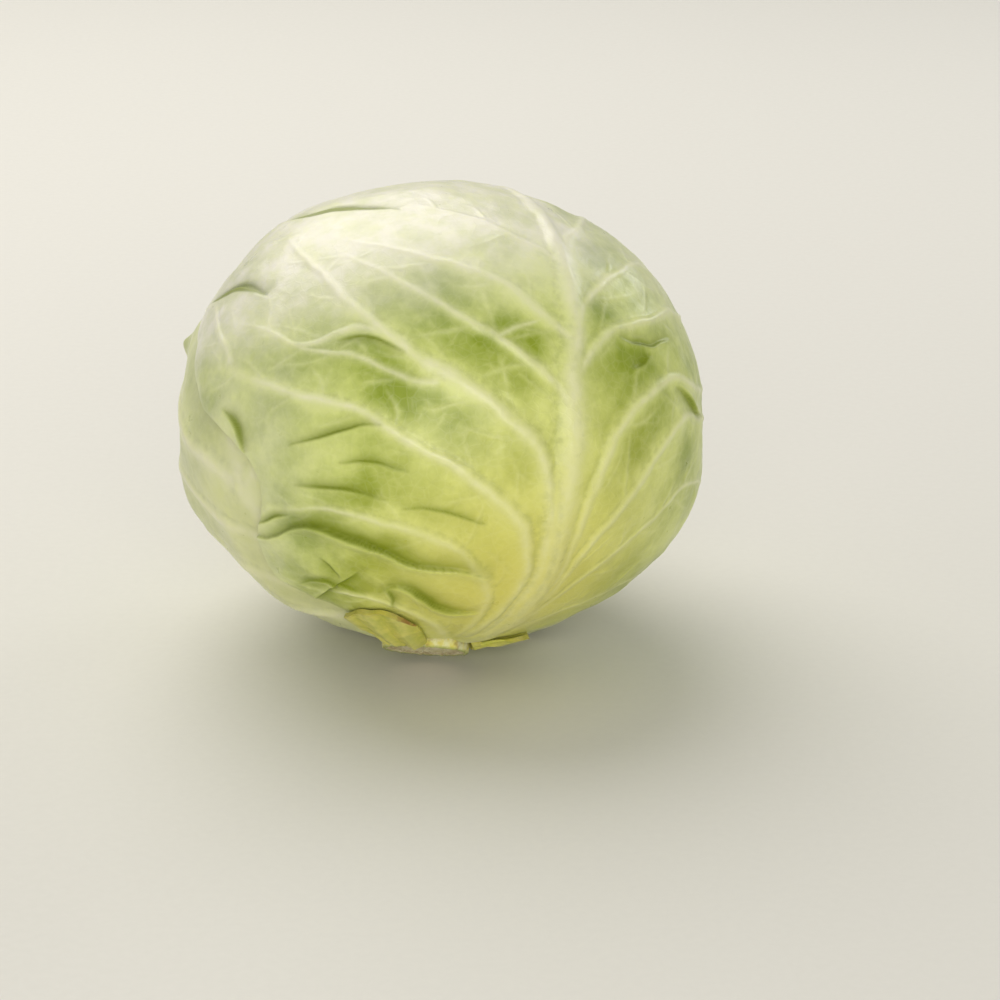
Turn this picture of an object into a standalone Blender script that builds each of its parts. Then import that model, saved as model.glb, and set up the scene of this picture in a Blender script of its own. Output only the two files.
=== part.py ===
"""A head of white cabbage, trimmed for market and lying as it comes to rest on a table.

Big rounded wrapper leaves overlap like tiles around a tight heart, and all of them grow from one
stem, whose core runs up inside the heart. Each leaf is a thin curved solid of its own. Everything
is worked out in the head's own frame: +Z from the cut stem to the crown, -Y to the front. An empty
then leans the head over, so that it rests on a small flat spot behind the stem.
"""

import math
from typing import NamedTuple

import bmesh
import bpy
import numpy as np
from mathutils import Euler, Vector

# Driving dimensions, in metres and degrees.
HEAD_WIDTH = 0.178
HEAD_HEIGHT = 0.157
LEAN_BACK = 29.0
LEAN_RIGHT = 4.0
CENTRE_HEIGHT = 0.0789  # of the head's centre over the table, which sets the flat spot's size
FLAT_BLEND = 0.0004  # over which the round of the head turns into the flat spot
LEAF_THICKNESS = 0.0010
LAYER_PITCH = 0.0031  # from one leaf's outer face to the next one's
TUCK_UNDER = 18.0  # degrees past a leaf's margin over which the leaves below rise again
STEM_RADIUS = 0.0150
STEM_CHAMFER = 0.0008
STEM_STRAIGHT = 0.026  # length of the butt before the core starts to taper
STEM_STANDS_OUT = 0.0015
CORE_LENGTH = 0.060
FIT_GAP = 0.0005  # kept between the stem and what is close around it
BLADE_CLEARANCE = 0.0012  # kept between the stem and the blades, whose margins run straight past it
STUB_SKIN_GAP = 0.0008
STUB_CUT_THICKNESS = 0.45  # of a stub's thickness at the stem, left at its cut edge
HOLLOW_OVERSHOOT = 0.010  # of the cutter past the head's base

# How coarse the faceted solids are.
SECTORS = 32
RINGS = 9
STUB_ROWS = 4
STUB_COLUMNS = 8
STEM_SEGMENTS = 24
HEART_SUBDIVISIONS = 4


class Shoulder(NamedTuple):
    """A low swelling or hollow, where ribs inside push the leaves out or leave them slack."""

    azimuth: float
    latitude: float
    height: float
    spread: float


class Leaf(NamedTuple):
    """A wrapper leaf: where its rib lies, how far its blade reaches all round, and its colour.

    The reaches are angles from the middle of the blade to its margin, every 45 degrees of turn
    from its base: base, low right, right, high right, tip, high left, left and low left.
    """

    name: str
    azimuth: float
    reaches: tuple
    colour: tuple


class Stub(NamedTuple):
    """The base of an outer leaf that was cut off close to the stem."""

    name: str
    azimuth: float
    half_width: float
    reach: float
    thickness: float


# Azimuth is in degrees from the front towards the right; latitude is up from the head's equator.
SHOULDERS = (
    Shoulder(92, -20, 0.0026, 16),
    Shoulder(93, 22, -0.0012, 14),
    Shoulder(97, 46, 0.0012, 13),
    Shoulder(-170, 74, 0.0008, 14),
    Shoulder(-97, 54, 0.0018, 12),
    Shoulder(-93, 34, -0.0014, 10),
    Shoulder(-92, 19, 0.0020, 9),
    Shoulder(-90, -14, 0.0022, 10),
    Shoulder(-88, -36, -0.0008, 9),
    Shoulder(-82, -49, 0.0010, 9),
    Shoulder(-70, -64, -0.0018, 10),
    Shoulder(180, -71, 0.0016, 13),
    Shoulder(150, 10, 0.0014, 22),
    Shoulder(-150, 30, 0.0012, 20),
)

GOLDEN_ANGLE = 137.5
FIRST_AZIMUTH = 31.0
BLADE_MIDDLE = 5.0  # latitude of the middle of every blade

# From the outermost leaf inwards. Each grows a golden angle further round the stem than the last.
BLADES = (
    ("front_wrapper_leaf", (84, 79, 86, 88, 90, 104, 98, 97), (0.55, 0.68, 0.30)),
    ("back_wrapper_leaf", (84, 80, 91, 84, 66, 86, 92, 82), (0.58, 0.70, 0.33)),
    ("left_wrapper_leaf", (84, 80, 84, 88, 92, 96, 92, 86), (0.62, 0.73, 0.38)),
    ("right_wrapper_leaf", (84, 82, 90, 92, 82, 90, 88, 80), (0.66, 0.76, 0.42)),
    ("rear_left_leaf", (84, 80, 86, 92, 90, 88, 88, 82), (0.70, 0.78, 0.47)),
    ("second_front_leaf", (84, 82, 90, 96, 94, 92, 90, 82), (0.74, 0.81, 0.52)),
    ("rear_right_leaf", (84, 80, 86, 88, 92, 94, 90, 82), (0.77, 0.83, 0.56)),
    ("second_left_leaf", (84, 80, 84, 86, 86, 86, 84, 80), (0.80, 0.85, 0.60)),
)
STUBS = (
    Stub("front_leaf_stub", -34, 33, 34, 0.0042),
    Stub("back_leaf_stub", 92, 27, 25, 0.0036),
)
STUB_COLOUR = (0.72, 0.76, 0.38)
STEM_COLOUR = (0.84, 0.82, 0.62)
HEART_COLOUR = (0.83, 0.87, 0.63)
WAXY = 0.45
MOIST_CUT = 0.60


def clear_scene():
    for old in list(bpy.data.objects):
        bpy.data.objects.remove(old)


def unit(azimuth, latitude):
    """The direction at an azimuth and latitude, both in degrees."""
    turn = math.radians(azimuth)
    rise = math.radians(latitude)
    return np.array(
        [math.cos(rise) * math.sin(turn), -math.cos(rise) * math.cos(turn), math.sin(rise)]
    )


def smooth_step(value):
    held = np.clip(value, 0.0, 1.0)
    return held * held * (3.0 - 2.0 * held)


def lean():
    """The turn from the head's own frame to the table's."""
    return Euler((-math.radians(LEAN_BACK), math.radians(LEAN_RIGHT), 0.0), "XYZ")


def head_radius(directions):
    """Distance from the head's centre to its outer skin, with shoulders and the flat spot."""
    half_width = HEAD_WIDTH / 2
    half_height = HEAD_HEIGHT / 2
    across = (directions[:, 0] ** 2 + directions[:, 1] ** 2) / half_width**2
    radius = 1.0 / np.sqrt(across + directions[:, 2] ** 2 / half_height**2)
    for shoulder in SHOULDERS:
        nearness = directions @ unit(shoulder.azimuth, shoulder.latitude)
        away = np.degrees(np.arccos(np.clip(nearness, -1.0, 1.0)))
        radius = radius + shoulder.height * np.exp(-((away / shoulder.spread) ** 2))
    table_up = np.array(lean().to_matrix().transposed() @ Vector((0.0, 0.0, 1.0)))
    fall = np.maximum(-(directions @ table_up), 1e-6)
    floor = CENTRE_HEIGHT / fall
    mix = np.clip(0.5 + 0.5 * (floor - radius) / FLAT_BLEND, 0.0, 1.0)
    return floor * (1 - mix) + radius * mix - FLAT_BLEND * mix * (1 - mix)


def margin_reach(leaf, turns):
    """Reach of the blade at each turn from its base, on a smooth closed curve through its reaches."""
    reaches = np.array(leaf.reaches, float)
    place = np.mod(turns, 360.0) / 360.0 * len(reaches)
    knot = np.floor(place).astype(int)
    share = place - knot
    before, start, end, beyond = (reaches[(knot + k) % len(reaches)] for k in (-1, 0, 1, 2))
    slope_in = (end - before) / 2
    slope_out = (beyond - start) / 2
    eased = smooth_step(share)
    swing = share * (1 - share)
    return start + (end - start) * eased + swing * ((1 - share) * slope_in - share * slope_out)


def axes_of(leaf):
    """The middle of the blade, the way to its right, and the way to its tip."""
    middle = unit(leaf.azimuth, BLADE_MIDDLE)
    to_tip = unit(leaf.azimuth, BLADE_MIDDLE + 90)
    return middle, np.cross(to_tip, middle), to_tip


def directions_on(leaf, reach, turns):
    """Unit directions at these angles from the blade's middle, and turns from its base."""
    middle, right, to_tip = axes_of(leaf)
    out = np.radians(reach)[:, None]
    spin = np.radians(turns)[:, None]
    return np.cos(out) * middle + np.sin(out) * (np.sin(spin) * right - np.cos(spin) * to_tip)


def reach_and_turn(leaf, directions):
    middle, right, to_tip = axes_of(leaf)
    reach = np.degrees(np.arccos(np.clip(directions @ middle, -1.0, 1.0)))
    turns = np.degrees(np.arctan2(directions @ right, -(directions @ to_tip)))
    return reach, turns


def covered(leaf, directions):
    """1 under the blade, easing to 0 past its margin."""
    reach, turns = reach_and_turn(leaf, directions)
    return 1.0 - smooth_step((reach - margin_reach(leaf, turns)) / TUCK_UNDER)


def leaf_radius(leaves, index, directions):
    """Distance to the outer face of a leaf, pressed in by every leaf that lies over it."""
    layers = sum((covered(other, directions) for other in leaves[:index]), np.zeros(len(directions)))
    return head_radius(directions) - LAYER_PITCH * layers


def reach_to_stem(turns, radius):
    """How far a blade can reach before it meets the stem, for each turn from its base."""
    to_pole = math.radians(90 + BLADE_MIDDLE)
    clear = math.asin((STEM_RADIUS + BLADE_CLEARANCE) / radius)
    side = math.sin(to_pole) * np.cos(np.radians(turns))
    aim = np.arctan2(side, math.cos(to_pole))
    ratio = math.cos(clear) / np.hypot(math.cos(to_pole), side)
    meets = (ratio < 1.0) & (side > 0)
    return np.where(meets, np.degrees(aim - np.arccos(np.clip(ratio, -1.0, 1.0))), 180.0)


def finish_object(name, bm, colour, roughness):
    """Turns a bmesh into a named object with its own material."""
    bmesh.ops.recalc_face_normals(bm, faces=bm.faces)
    mesh = bpy.data.meshes.new(name)
    bm.to_mesh(mesh)
    bm.free()
    mesh.shade_smooth()
    material = bpy.data.materials.new(name)
    material.use_nodes = True
    surface = material.node_tree.nodes["Principled BSDF"]
    surface.inputs["Base Color"].default_value = (*colour, 1.0)
    surface.inputs["Roughness"].default_value = roughness
    surface.inputs["Metallic"].default_value = 0.0
    mesh.materials.append(material)
    made = bpy.data.objects.new(name, mesh)
    bpy.context.scene.collection.objects.link(made)
    return made


def add_points(bm, directions, radius):
    return [bm.verts.new(point) for point in directions * radius[:, None]]


def make_leaf(leaves, index):
    """A blade as a curved shell: two matching fans of rings, joined around the margin."""
    leaf = leaves[index]
    turns = np.linspace(-180, 180, SECTORS, endpoint=False)
    at_base = leaf_radius(leaves, index, unit(0, -90)[None, :])[0] - LEAF_THICKNESS
    margin = np.minimum(margin_reach(leaf, turns), reach_to_stem(turns, at_base))
    grid = [directions_on(leaf, np.zeros(1), np.zeros(1))]
    grid += [directions_on(leaf, margin * ring / RINGS, turns) for ring in range(1, RINGS + 1)]
    bm = bmesh.new()
    edges = []
    for depth in (0.0, LEAF_THICKNESS):
        rings = [add_points(bm, way, leaf_radius(leaves, index, way) - depth) for way in grid]
        for k in range(SECTORS):
            after = (k + 1) % SECTORS
            bm.faces.new((rings[0][0], rings[1][k], rings[1][after]))
            for inner, outer in zip(rings[1:-1], rings[2:], strict=True):
                bm.faces.new((inner[k], outer[k], outer[after], inner[after]))
        edges.append(rings[-1])
    close_edge(bm, *edges)
    return finish_object(leaf.name, bm, leaf.colour, WAXY)


def close_edge(bm, outside, inside):
    """The strip of faces between two matching loops of points."""
    for k in range(len(outside)):
        after = (k + 1) % len(outside)
        bm.faces.new((outside[k], inside[k], inside[after], outside[after]))


def stub_way(stub, along, side):
    """A direction on a stub: along from the stem (0) to its cut (1), side from -1 to 1."""
    near = math.degrees(math.asin((STEM_RADIUS + FIT_GAP) / (HEAD_HEIGHT / 2)))
    far = stub.reach * (1 - 0.10 * side * side)
    spread = stub.half_width * (1 - 0.2 * along)
    return unit(stub.azimuth + spread * side, near + (far - near) * along - 90)


def make_stub(stub):
    """The thick base of a cut leaf: it hugs the head, rounded across and thinner at its cut."""
    bm = bmesh.new()
    edges = []
    for share in (1.0, 0.0):
        rows = []
        for row in range(STUB_ROWS + 1):
            along = row / STUB_ROWS
            line = []
            for column in range(STUB_COLUMNS + 1):
                side = 2 * column / STUB_COLUMNS - 1
                thick = stub.thickness * (1 - (1 - STUB_CUT_THICKNESS) * along)
                thick *= 1 - 0.65 * side * side
                way = stub_way(stub, along, side)
                skin = head_radius(way[None, :])[0] + STUB_SKIN_GAP
                line.append(bm.verts.new(way * (skin + thick * share)))
            rows.append(line)
        for low, high in zip(rows[:-1], rows[1:], strict=True):
            for k in range(STUB_COLUMNS):
                bm.faces.new((low[k], low[k + 1], high[k + 1], high[k]))
        sides = [line[-1] for line in rows[1:-1]], [line[0] for line in rows[-2:0:-1]]
        edges.append(rows[0] + sides[0] + rows[-1][::-1] + sides[1])
    close_edge(bm, *edges)
    return finish_object(stub.name, bm, STUB_COLOUR, WAXY)


def turned(profile):
    """A closed solid of revolution about Z from (radius, height) points, lowest first."""
    bm = bmesh.new()
    rings = []
    for radius, height in profile:
        ring = []
        for k in range(STEM_SEGMENTS):
            angle = 2 * math.pi * k / STEM_SEGMENTS
            ring.append(bm.verts.new((radius * math.cos(angle), radius * math.sin(angle), height)))
        rings.append(ring)
    bm.faces.new(rings[0])
    bm.faces.new(rings[-1])
    for low, high in zip(rings[:-1], rings[1:], strict=True):
        for k in range(STEM_SEGMENTS):
            after = (k + 1) % STEM_SEGMENTS
            bm.faces.new((low[k], low[after], high[after], high[k]))
    return bm


def stem_profile(extra=0.0, past_end=0.0):
    """The stem's outline: a flat cut, a straight butt and a core that tapers to a round tip."""
    cut = -(HEAD_HEIGHT / 2 + STEM_STANDS_OUT)
    tip = cut + CORE_LENGTH
    return (
        (STEM_RADIUS - STEM_CHAMFER + extra, cut - past_end),
        (STEM_RADIUS + extra, cut + STEM_CHAMFER),
        (STEM_RADIUS + extra, cut + STEM_STRAIGHT),
        (STEM_RADIUS * 0.80 + extra, cut + 0.75 * CORE_LENGTH),
        (STEM_RADIUS * 0.55 + extra, tip - 0.003),
        (STEM_RADIUS * 0.25 + extra, tip + extra),
    )


def make_stem():
    return finish_object("stem_core", turned(stem_profile()), STEM_COLOUR, MOIST_CUT)


def make_heart(leaves):
    """The tight inner leaves as one solid, with a hollow for the core, and the cutter of it."""
    bm = bmesh.new()
    bmesh.ops.create_icosphere(bm, subdivisions=HEART_SUBDIVISIONS, radius=1.0)
    ways = np.array([vert.co.normalized() for vert in bm.verts])
    radius = leaf_radius(leaves, len(leaves), ways)
    for vert, way, distance in zip(bm.verts, ways, radius, strict=True):
        vert.co = way * distance
    heart = finish_object("tight_heart", bm, HEART_COLOUR, WAXY)
    outline = stem_profile(FIT_GAP, HOLLOW_OVERSHOOT)
    hollow = finish_object("core_hollow", turned(outline), STEM_COLOUR, MOIST_CUT)
    hollow.hide_render = True
    hollow.display_type = "WIRE"
    cut = heart.modifiers.new("core_hollow", "BOOLEAN")
    cut.operation = "DIFFERENCE"
    cut.object = hollow
    return heart, hollow


def main():
    clear_scene()
    leaves = [
        Leaf(name, FIRST_AZIMUTH + GOLDEN_ANGLE * k, reaches, colour)
        for k, (name, reaches, colour) in enumerate(BLADES)
    ]
    head = bpy.data.objects.new("head", None)
    bpy.context.scene.collection.objects.link(head)
    made = [make_leaf(leaves, k) for k in range(len(leaves))]
    made += [make_stub(stub) for stub in STUBS]
    made += [make_stem(), *make_heart(leaves)]
    for piece in made:
        piece.parent = head
    head.rotation_euler = lean()
    head.location = (0.0, 0.0, CENTRE_HEIGHT)


main()
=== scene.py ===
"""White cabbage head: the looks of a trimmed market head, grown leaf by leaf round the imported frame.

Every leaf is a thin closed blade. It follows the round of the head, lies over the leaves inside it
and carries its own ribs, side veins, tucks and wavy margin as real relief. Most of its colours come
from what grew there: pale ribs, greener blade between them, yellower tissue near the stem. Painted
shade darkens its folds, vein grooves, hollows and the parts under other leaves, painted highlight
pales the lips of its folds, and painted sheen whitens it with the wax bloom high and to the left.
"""

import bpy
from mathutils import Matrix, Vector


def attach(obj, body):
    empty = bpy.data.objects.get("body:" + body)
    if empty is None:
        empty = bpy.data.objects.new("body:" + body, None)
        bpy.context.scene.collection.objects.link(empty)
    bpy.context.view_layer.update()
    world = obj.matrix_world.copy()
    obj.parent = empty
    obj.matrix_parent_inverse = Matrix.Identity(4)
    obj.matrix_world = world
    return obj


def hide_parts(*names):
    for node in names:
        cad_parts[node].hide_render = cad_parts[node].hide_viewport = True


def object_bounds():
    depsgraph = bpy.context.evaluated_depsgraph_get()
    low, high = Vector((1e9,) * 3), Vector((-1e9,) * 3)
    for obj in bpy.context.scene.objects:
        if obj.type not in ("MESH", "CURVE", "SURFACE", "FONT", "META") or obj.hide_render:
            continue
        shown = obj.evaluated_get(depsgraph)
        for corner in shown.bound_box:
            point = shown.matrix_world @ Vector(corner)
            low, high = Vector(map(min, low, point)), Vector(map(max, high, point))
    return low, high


bl_info = {
    "name": "White Cabbage Head",
    "version": (1, 0, 0),
    "blender": (4, 5, 0),
    "location": "3D View > Sidebar > Cabbage",
    "description": "Grows a trimmed head of white cabbage leaf by leaf and sets it on a pale table",
    "category": "Add Mesh",
}

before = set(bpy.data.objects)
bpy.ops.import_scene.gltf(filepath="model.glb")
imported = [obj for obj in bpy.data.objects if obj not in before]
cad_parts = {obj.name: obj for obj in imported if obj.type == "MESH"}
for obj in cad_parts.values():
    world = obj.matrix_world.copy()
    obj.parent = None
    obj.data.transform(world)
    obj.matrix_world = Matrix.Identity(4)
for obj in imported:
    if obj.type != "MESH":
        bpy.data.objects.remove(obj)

import math
from typing import NamedTuple

import bpy
import numpy as np
from bpy.props import FloatProperty, FloatVectorProperty, PointerProperty
from mathutils import Euler, Vector

CAD_LOW, CAD_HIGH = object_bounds()
BODY = "root"

# The head's shape, in metres and degrees. +Z runs from the cut stem to the crown, -Y is the front.
HEAD_WIDTH = round(CAD_HIGH.x - CAD_LOW.x, 3)
HEAD_HEIGHT = 0.882 * HEAD_WIDTH
CENTRE_HEIGHT = 0.0789
LEAN_BACK = 29.0
LEAN_RIGHT = 4.0
FLAT_BLEND = 0.0006
DENTS = 46
DENT_SPREADS = (9.0, 19.0)
DENT_HEIGHT = 0.0011

# The stem, in metres: its radius, how far it stands out, the room leaves leave it and its length,
# then the hollow for it in the heart, whose top is this far above the sawn face.
STEM_RADIUS = 0.0150
STEM_STANDS_OUT = 0.0015
STEM_CLEARANCE = 0.0008
STEM_LENGTH = 0.0605
CORE_HOLLOW_CLEARANCE = 0.0006
CORE_HOLLOW_DEPTH = 0.075
CORE_HOLLOW_TOP = 0.061

# How the leaves follow each other, in degrees: the turn from one to the next, the first one's
# azimuth, the latitude of a blade's middle, from there to the stem, and how far cover eases out.
GOLDEN_ANGLE = 137.5
FIRST_AZIMUTH = 31.0
BLADE_MIDDLE = 5.0
TO_STEM = 90.0 + BLADE_MIDDLE
TUCK_UNDER = 16.0

# A millimetre in metres, and how many of them a degree takes up on the skin.
MM = 0.001
MM_PER_DEGREE = math.radians(1.0) * HEAD_WIDTH / 2 / MM

# The leaves run from the outermost in: the front one comes first, and the wrappers before the rest.
FRONT = 0
WRAPPERS = 4

# Each leaf's relief is drawn on a square canvas of its blade, in degrees from the blade's middle.
CANVAS_HALF = 126.0
CANVAS_STEP = 0.36


def linear(code):
    """The linear colour of an sRGB hex code."""
    shares = [int(code[k : k + 2], 16) / 255 for k in (1, 3, 5)]
    return tuple(c / 12.92 if c <= 0.04045 else ((c + 0.055) / 1.055) ** 2.4 for c in shares)


class Shoulder(NamedTuple):
    """A low swelling or hollow, where ribs inside push the leaves out or leave them slack."""

    azimuth: float
    latitude: float
    height: float
    spread: float


class Leaf(NamedTuple):
    """A leaf: its node, the reaches of its margin at even turns from its base, and its grid."""

    node: str
    reaches: tuple
    cells: int
    slot: str


class Vein(NamedTuple):
    """A vein's route over the blade in degrees, and its half width and height in mm at both ends."""

    route: tuple
    width: tuple
    height: tuple


class Tuck(NamedTuple):
    """A fold in the blade: its route in degrees, its depth in mm, which side lies on top, +1 or -1,
    and how far it gapes to each side in mm.
    """

    route: tuple
    depth: float
    top_side: int
    gap: float = 0.4


# Places and spreads in degrees, heights in metres. They give the head its own lopsided outline.
SHOULDERS = (
    Shoulder(92, -20, 0.0026, 16),
    Shoulder(88, 2, -0.0014, 9),
    Shoulder(93, 22, -0.0020, 14),
    Shoulder(97, 46, 0.0012, 13),
    Shoulder(73, 62, -0.0009, 7),
    Shoulder(-170, 74, 0.0008, 14),
    Shoulder(-70, 66, -0.0018, 16),
    Shoulder(-97, 54, 0.0018, 12),
    Shoulder(-87, 33, -0.0078, 11),
    Shoulder(-92, 19, 0.0016, 9),
    Shoulder(-90, 12, 0.0030, 2.2),
    Shoulder(-91, 0, -0.0048, 10),
    Shoulder(-90, -14, 0.0002, 10),
    Shoulder(-94, -22, 0.0026, 8),
    Shoulder(-88, -36, -0.0008, 9),
    Shoulder(-82, -49, 0.0010, 9),
    Shoulder(-104, -57, -0.0012, 6),
    Shoulder(-70, -64, -0.0018, 10),
    Shoulder(180, -71, 0.0016, 13),
    Shoulder(150, 10, 0.0014, 22),
    Shoulder(-150, 30, 0.0012, 20),
)

# Reaches run round from the base: base, low right, right, high right, tip, high left, left, low left.
# The front leaf's come twice as close, as its margin has a notch on the left.
FRONT_REACHES = (84, 81, 79, 82, 86, 87, 88, 89, 90, 97, 104, 105, 96, 80, 96, 90)
LEAVES = (
    Leaf("front_wrapper_leaf", FRONT_REACHES, 500, "wrapper_leaf"),
    Leaf("back_wrapper_leaf", (84, 80, 91, 84, 66, 86, 92, 82), 420, "wrapper_leaf"),
    Leaf("left_wrapper_leaf", (84, 80, 84, 88, 92, 96, 92, 86), 400, "wrapper_leaf"),
    Leaf("right_wrapper_leaf", (84, 82, 90, 92, 82, 90, 88, 80), 260, "wrapper_leaf"),
    Leaf("rear_left_leaf", (84, 80, 86, 92, 90, 88, 88, 82), 260, "under_leaf"),
    Leaf("second_front_leaf", (84, 82, 90, 96, 94, 92, 90, 82), 200, "under_leaf"),
    Leaf("rear_right_leaf", (84, 80, 86, 88, 92, 94, 90, 82), 200, "under_leaf"),
    Leaf("second_left_leaf", (84, 80, 84, 86, 86, 86, 84, 80), 200, "under_leaf"),
)

HEART_REACHES = (84, 82, 88, 90, 94, 90, 88, 82)

# The front leaf's ribs: it broke out of the bud one-sided, so its left veins are the long ones.
FRONT_MIDRIB = Vein(
    (
        *((2, -96), (9, -72), (7, -58), (3, -44), (-1, -27), (-4, -8)),
        *((-4, 12), (-3, 26), (-1, 44), (3, 62), (8, 84)),
    ),
    (7.4, 1.6),
    (3.0, 0.8),
)
FRONT_VEINS = (
    Vein(((-3, 21), (-7, 26), (-12, 29), (-20, 35), (-27, 39), (-36, 46)), (1.9, 0.6), (0.8, 0.2)),
    Vein(
        ((-4, 2), (-9, 7), (-15, 12), (-23, 17), (-33, 22), (-44, 28), (-56, 38)),
        (2.2, 0.7), (1.1, 0.3),
    ),
    Vein(
        ((-3, -18), (-6, -9), (-11, -4), (-21, 3), (-32, 10), (-46, 22), (-56, 33)),
        (2.0, 0.7), (1.0, 0.3),
    ),
    Vein(
        (
            *((5, -74), (3, -55), (-3, -33), (-10, -20), (-19, -13)),
            *((-32, -5), (-47, 7), (-56, 21), (-64, 38), (-68, 54)),
        ),
        (3.6, 1.0),
        (2.0, 0.4),
    ),
    Vein(
        ((2, -78), (0, -55), (-7, -39), (-17, -31), (-30, -24), (-48, -15), (-65, -9), (-84, 1)),
        (3.3, 1.1),
        (1.9, 0.5),
    ),
    Vein(((0, -80), (-7, -58), (-19, -46), (-35, -42), (-54, -40), (-70, -42)), (2.6, 0.8), (1.0, 0.3)),
    Vein(((-21, 3), (-16, 6), (-11, 8)), (1.1, 0.6), (0.5, 0.3)),
    Vein(((-40, 2), (-46, 4), (-53, 4), (-62, 3), (-69, 7), (-80, 14)), (1.5, 0.6), (1.0, 0.3)),
    Vein(((-33, -7), (-39, -6), (-48, -3), (-56, 0), (-63, 3), (-70, 9)), (1.5, 0.6), (1.0, 0.3)),
    Vein(((-81, 2), (-83, 8), (-87, 17), (-90, 31)), (1.6, 0.7), (0.9, 0.3)),
    Vein(((-3, 24), (1, 31), (8, 39), (19, 50), (28, 60)), (2.6, 0.9), (1.3, 0.4)),
    Vein(((-4, 5), (-1, 12), (7, 20), (15, 25), (32, 34)), (1.9, 0.7), (1.0, 0.3)),
    Vein(((-4, -8), (-1, 0), (5, 6), (12, 10), (25, 16), (44, 24), (62, 34)), (2.3, 0.8), (2.0, 0.4)),
    Vein(
        ((9, -50), (6, -31), (7, -17), (12, -8), (23, 0), (31, 2), (44, 4), (66, 12)),
        (2.3, 0.9), (1.4, 0.4),
    ),
    Vein(
        ((11, -56), (12, -39), (18, -25), (25, -13), (33, -5), (46, -3), (70, 0)),
        (2.2, 0.9), (1.2, 0.4),
    ),
    Vein(((10, -66), (20, -45), (32, -29), (44, -19), (70, -15)), (1.4, 0.7), (0.6, 0.3)),
    Vein(((6, -78), (24, -60), (44, -48), (66, -42)), (1.2, 0.6), (0.4, 0.2)),
    Vein(((-2, -82), (-18, -72), (-36, -68), (-54, -72)), (2.4, 0.8), (0.9, 0.3)),
)
FRONT_TUCKS = (
    Tuck(
        ((-76, -53), (-70, -52), (-60, -46), (-50, -46), (-38, -49), (-28, -52), (-17, -51), (-9, -52)),
        2.3, -1, 0.7,
    ),
    Tuck(((-51, -80), (-47, -67), (-42, -58)), 1.4, 1, 0.7),
    Tuck(((-54, -56), (-50, -60), (-47, -63)), 0.7, 1, 0.5),
    Tuck(((-34, -61), (-31, -65), (-29, -70)), 0.7, -1, 0.4),
    Tuck(((-58, -71), (-52, -66), (-44, -66), (-37, -67)), 0.9, -1, 0.3),
    Tuck(((-35, -65), (-31, -61), (-24, -63), (-13, -67), (-5, -65)), 1.8, -1, 0.6),
    Tuck(((-73, -47), (-68, -44), (-64, -43)), 1.0, -1),
    Tuck(((-63, -34), (-56, -34), (-48, -34), (-40, -35)), 0.8, -1),
    Tuck(((-52, -27), (-43, -26), (-36, -27)), 0.4, -1),
    Tuck(((-64, -23), (-56, -21), (-50, -19), (-43, -17)), 0.8, -1, 0.3),
    Tuck(((-84, -11), (-81, -15), (-78, -20), (-76, -25)), 1.2, -1, 1.0),
    Tuck(((-37, -37), (-31, -36), (-24, -37), (-16, -38)), 0.3, -1),
    Tuck(((-97, 35), (-88, 30), (-79, 27), (-71, 19)), 1.5, -1, 2.8),
    Tuck(((-68, 59), (-59, 53), (-50, 51), (-37, 42)), 1.5, -1, 3.6),
    Tuck(((-54, 2), (-46, 2), (-39, -1)), 0.5, 1),
    Tuck(((8, 6), (14, 6), (19, 7), (26, 10)), 0.9, -1),
    Tuck(((11, 0), (15, 2), (18, 5)), 0.8, -1),
    Tuck(((26, -1), (33, -1), (38, -2), (43, -3)), 1.2, 1, 0.8),
)
# Where the front leaf's margin curls up: turn from the base and width in degrees, height in mm.
FRONT_CURLS = ((-80, 5.0, 0.8), (-57, 3.0, 0.8))
# Where the front leaf's blade is greenest: centre and spread in degrees.
FRONT_GREENS = (
    ((-26, 5), 9),
    ((-14, 4), 7),
    ((-20, -5), 8),
    ((-33, -14), 9),
    ((-42, -12), 7),
    ((-47, 1), 5),
    ((-72, 0), 7),
    ((-88, -10), 6),
    ((-46, -34), 6),
    ((-40, -66), 5),
    ((-94, -8), 5),
    ((-58, -50), 5),
    ((14, -12), 8),
    ((15, 1), 6),
    ((36, -12), 4),
    ((3, 12), 5),
    ((9, 29), 7),
)


def unit(azimuth, latitude):
    """The direction at an azimuth and latitude, both in degrees."""
    turn = math.radians(azimuth)
    rise = math.radians(latitude)
    return np.array(
        [math.cos(rise) * math.sin(turn), -math.cos(rise) * math.cos(turn), math.sin(rise)]
    )


def smooth_step(value):
    held = np.clip(value, 0.0, 1.0)
    return held * held * (3.0 - 2.0 * held)


def lean():
    """The turn from the head's own frame to the table's."""
    return Euler((-math.radians(LEAN_BACK), math.radians(LEAN_RIGHT), 0.0), "XYZ")


def lean_matrix():
    return np.array(lean().to_matrix())


def dents():
    """Seeded broad swellings and hollows that all the leaves share, as they press on each other."""
    rng = np.random.default_rng(11)
    ways = rng.normal(size=(DENTS, 3))
    ways /= np.linalg.norm(ways, axis=1)[:, None]
    spreads = rng.uniform(*DENT_SPREADS, len(ways))
    heights = rng.uniform(-1.0, 1.0, len(ways)) * DENT_HEIGHT
    return ways, spreads, heights


def free_radius(directions):
    """Distance from the head's centre to its skin, were it not resting on anything."""
    across = (directions[:, 0] ** 2 + directions[:, 1] ** 2) / (HEAD_WIDTH / 2) ** 2
    radius = 1.0 / np.sqrt(across + directions[:, 2] ** 2 / (HEAD_HEIGHT / 2) ** 2)
    bumps = [(unit(s.azimuth, s.latitude), s.spread, s.height) for s in SHOULDERS]
    bumps += list(zip(*dents(), strict=True))
    for way, spread, height in bumps:
        away = np.sqrt(np.maximum(2.0 - 2.0 * (directions @ way), 0.0)) / math.radians(spread)
        radius = radius + height * np.exp(-(away**2))
    return radius


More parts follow.
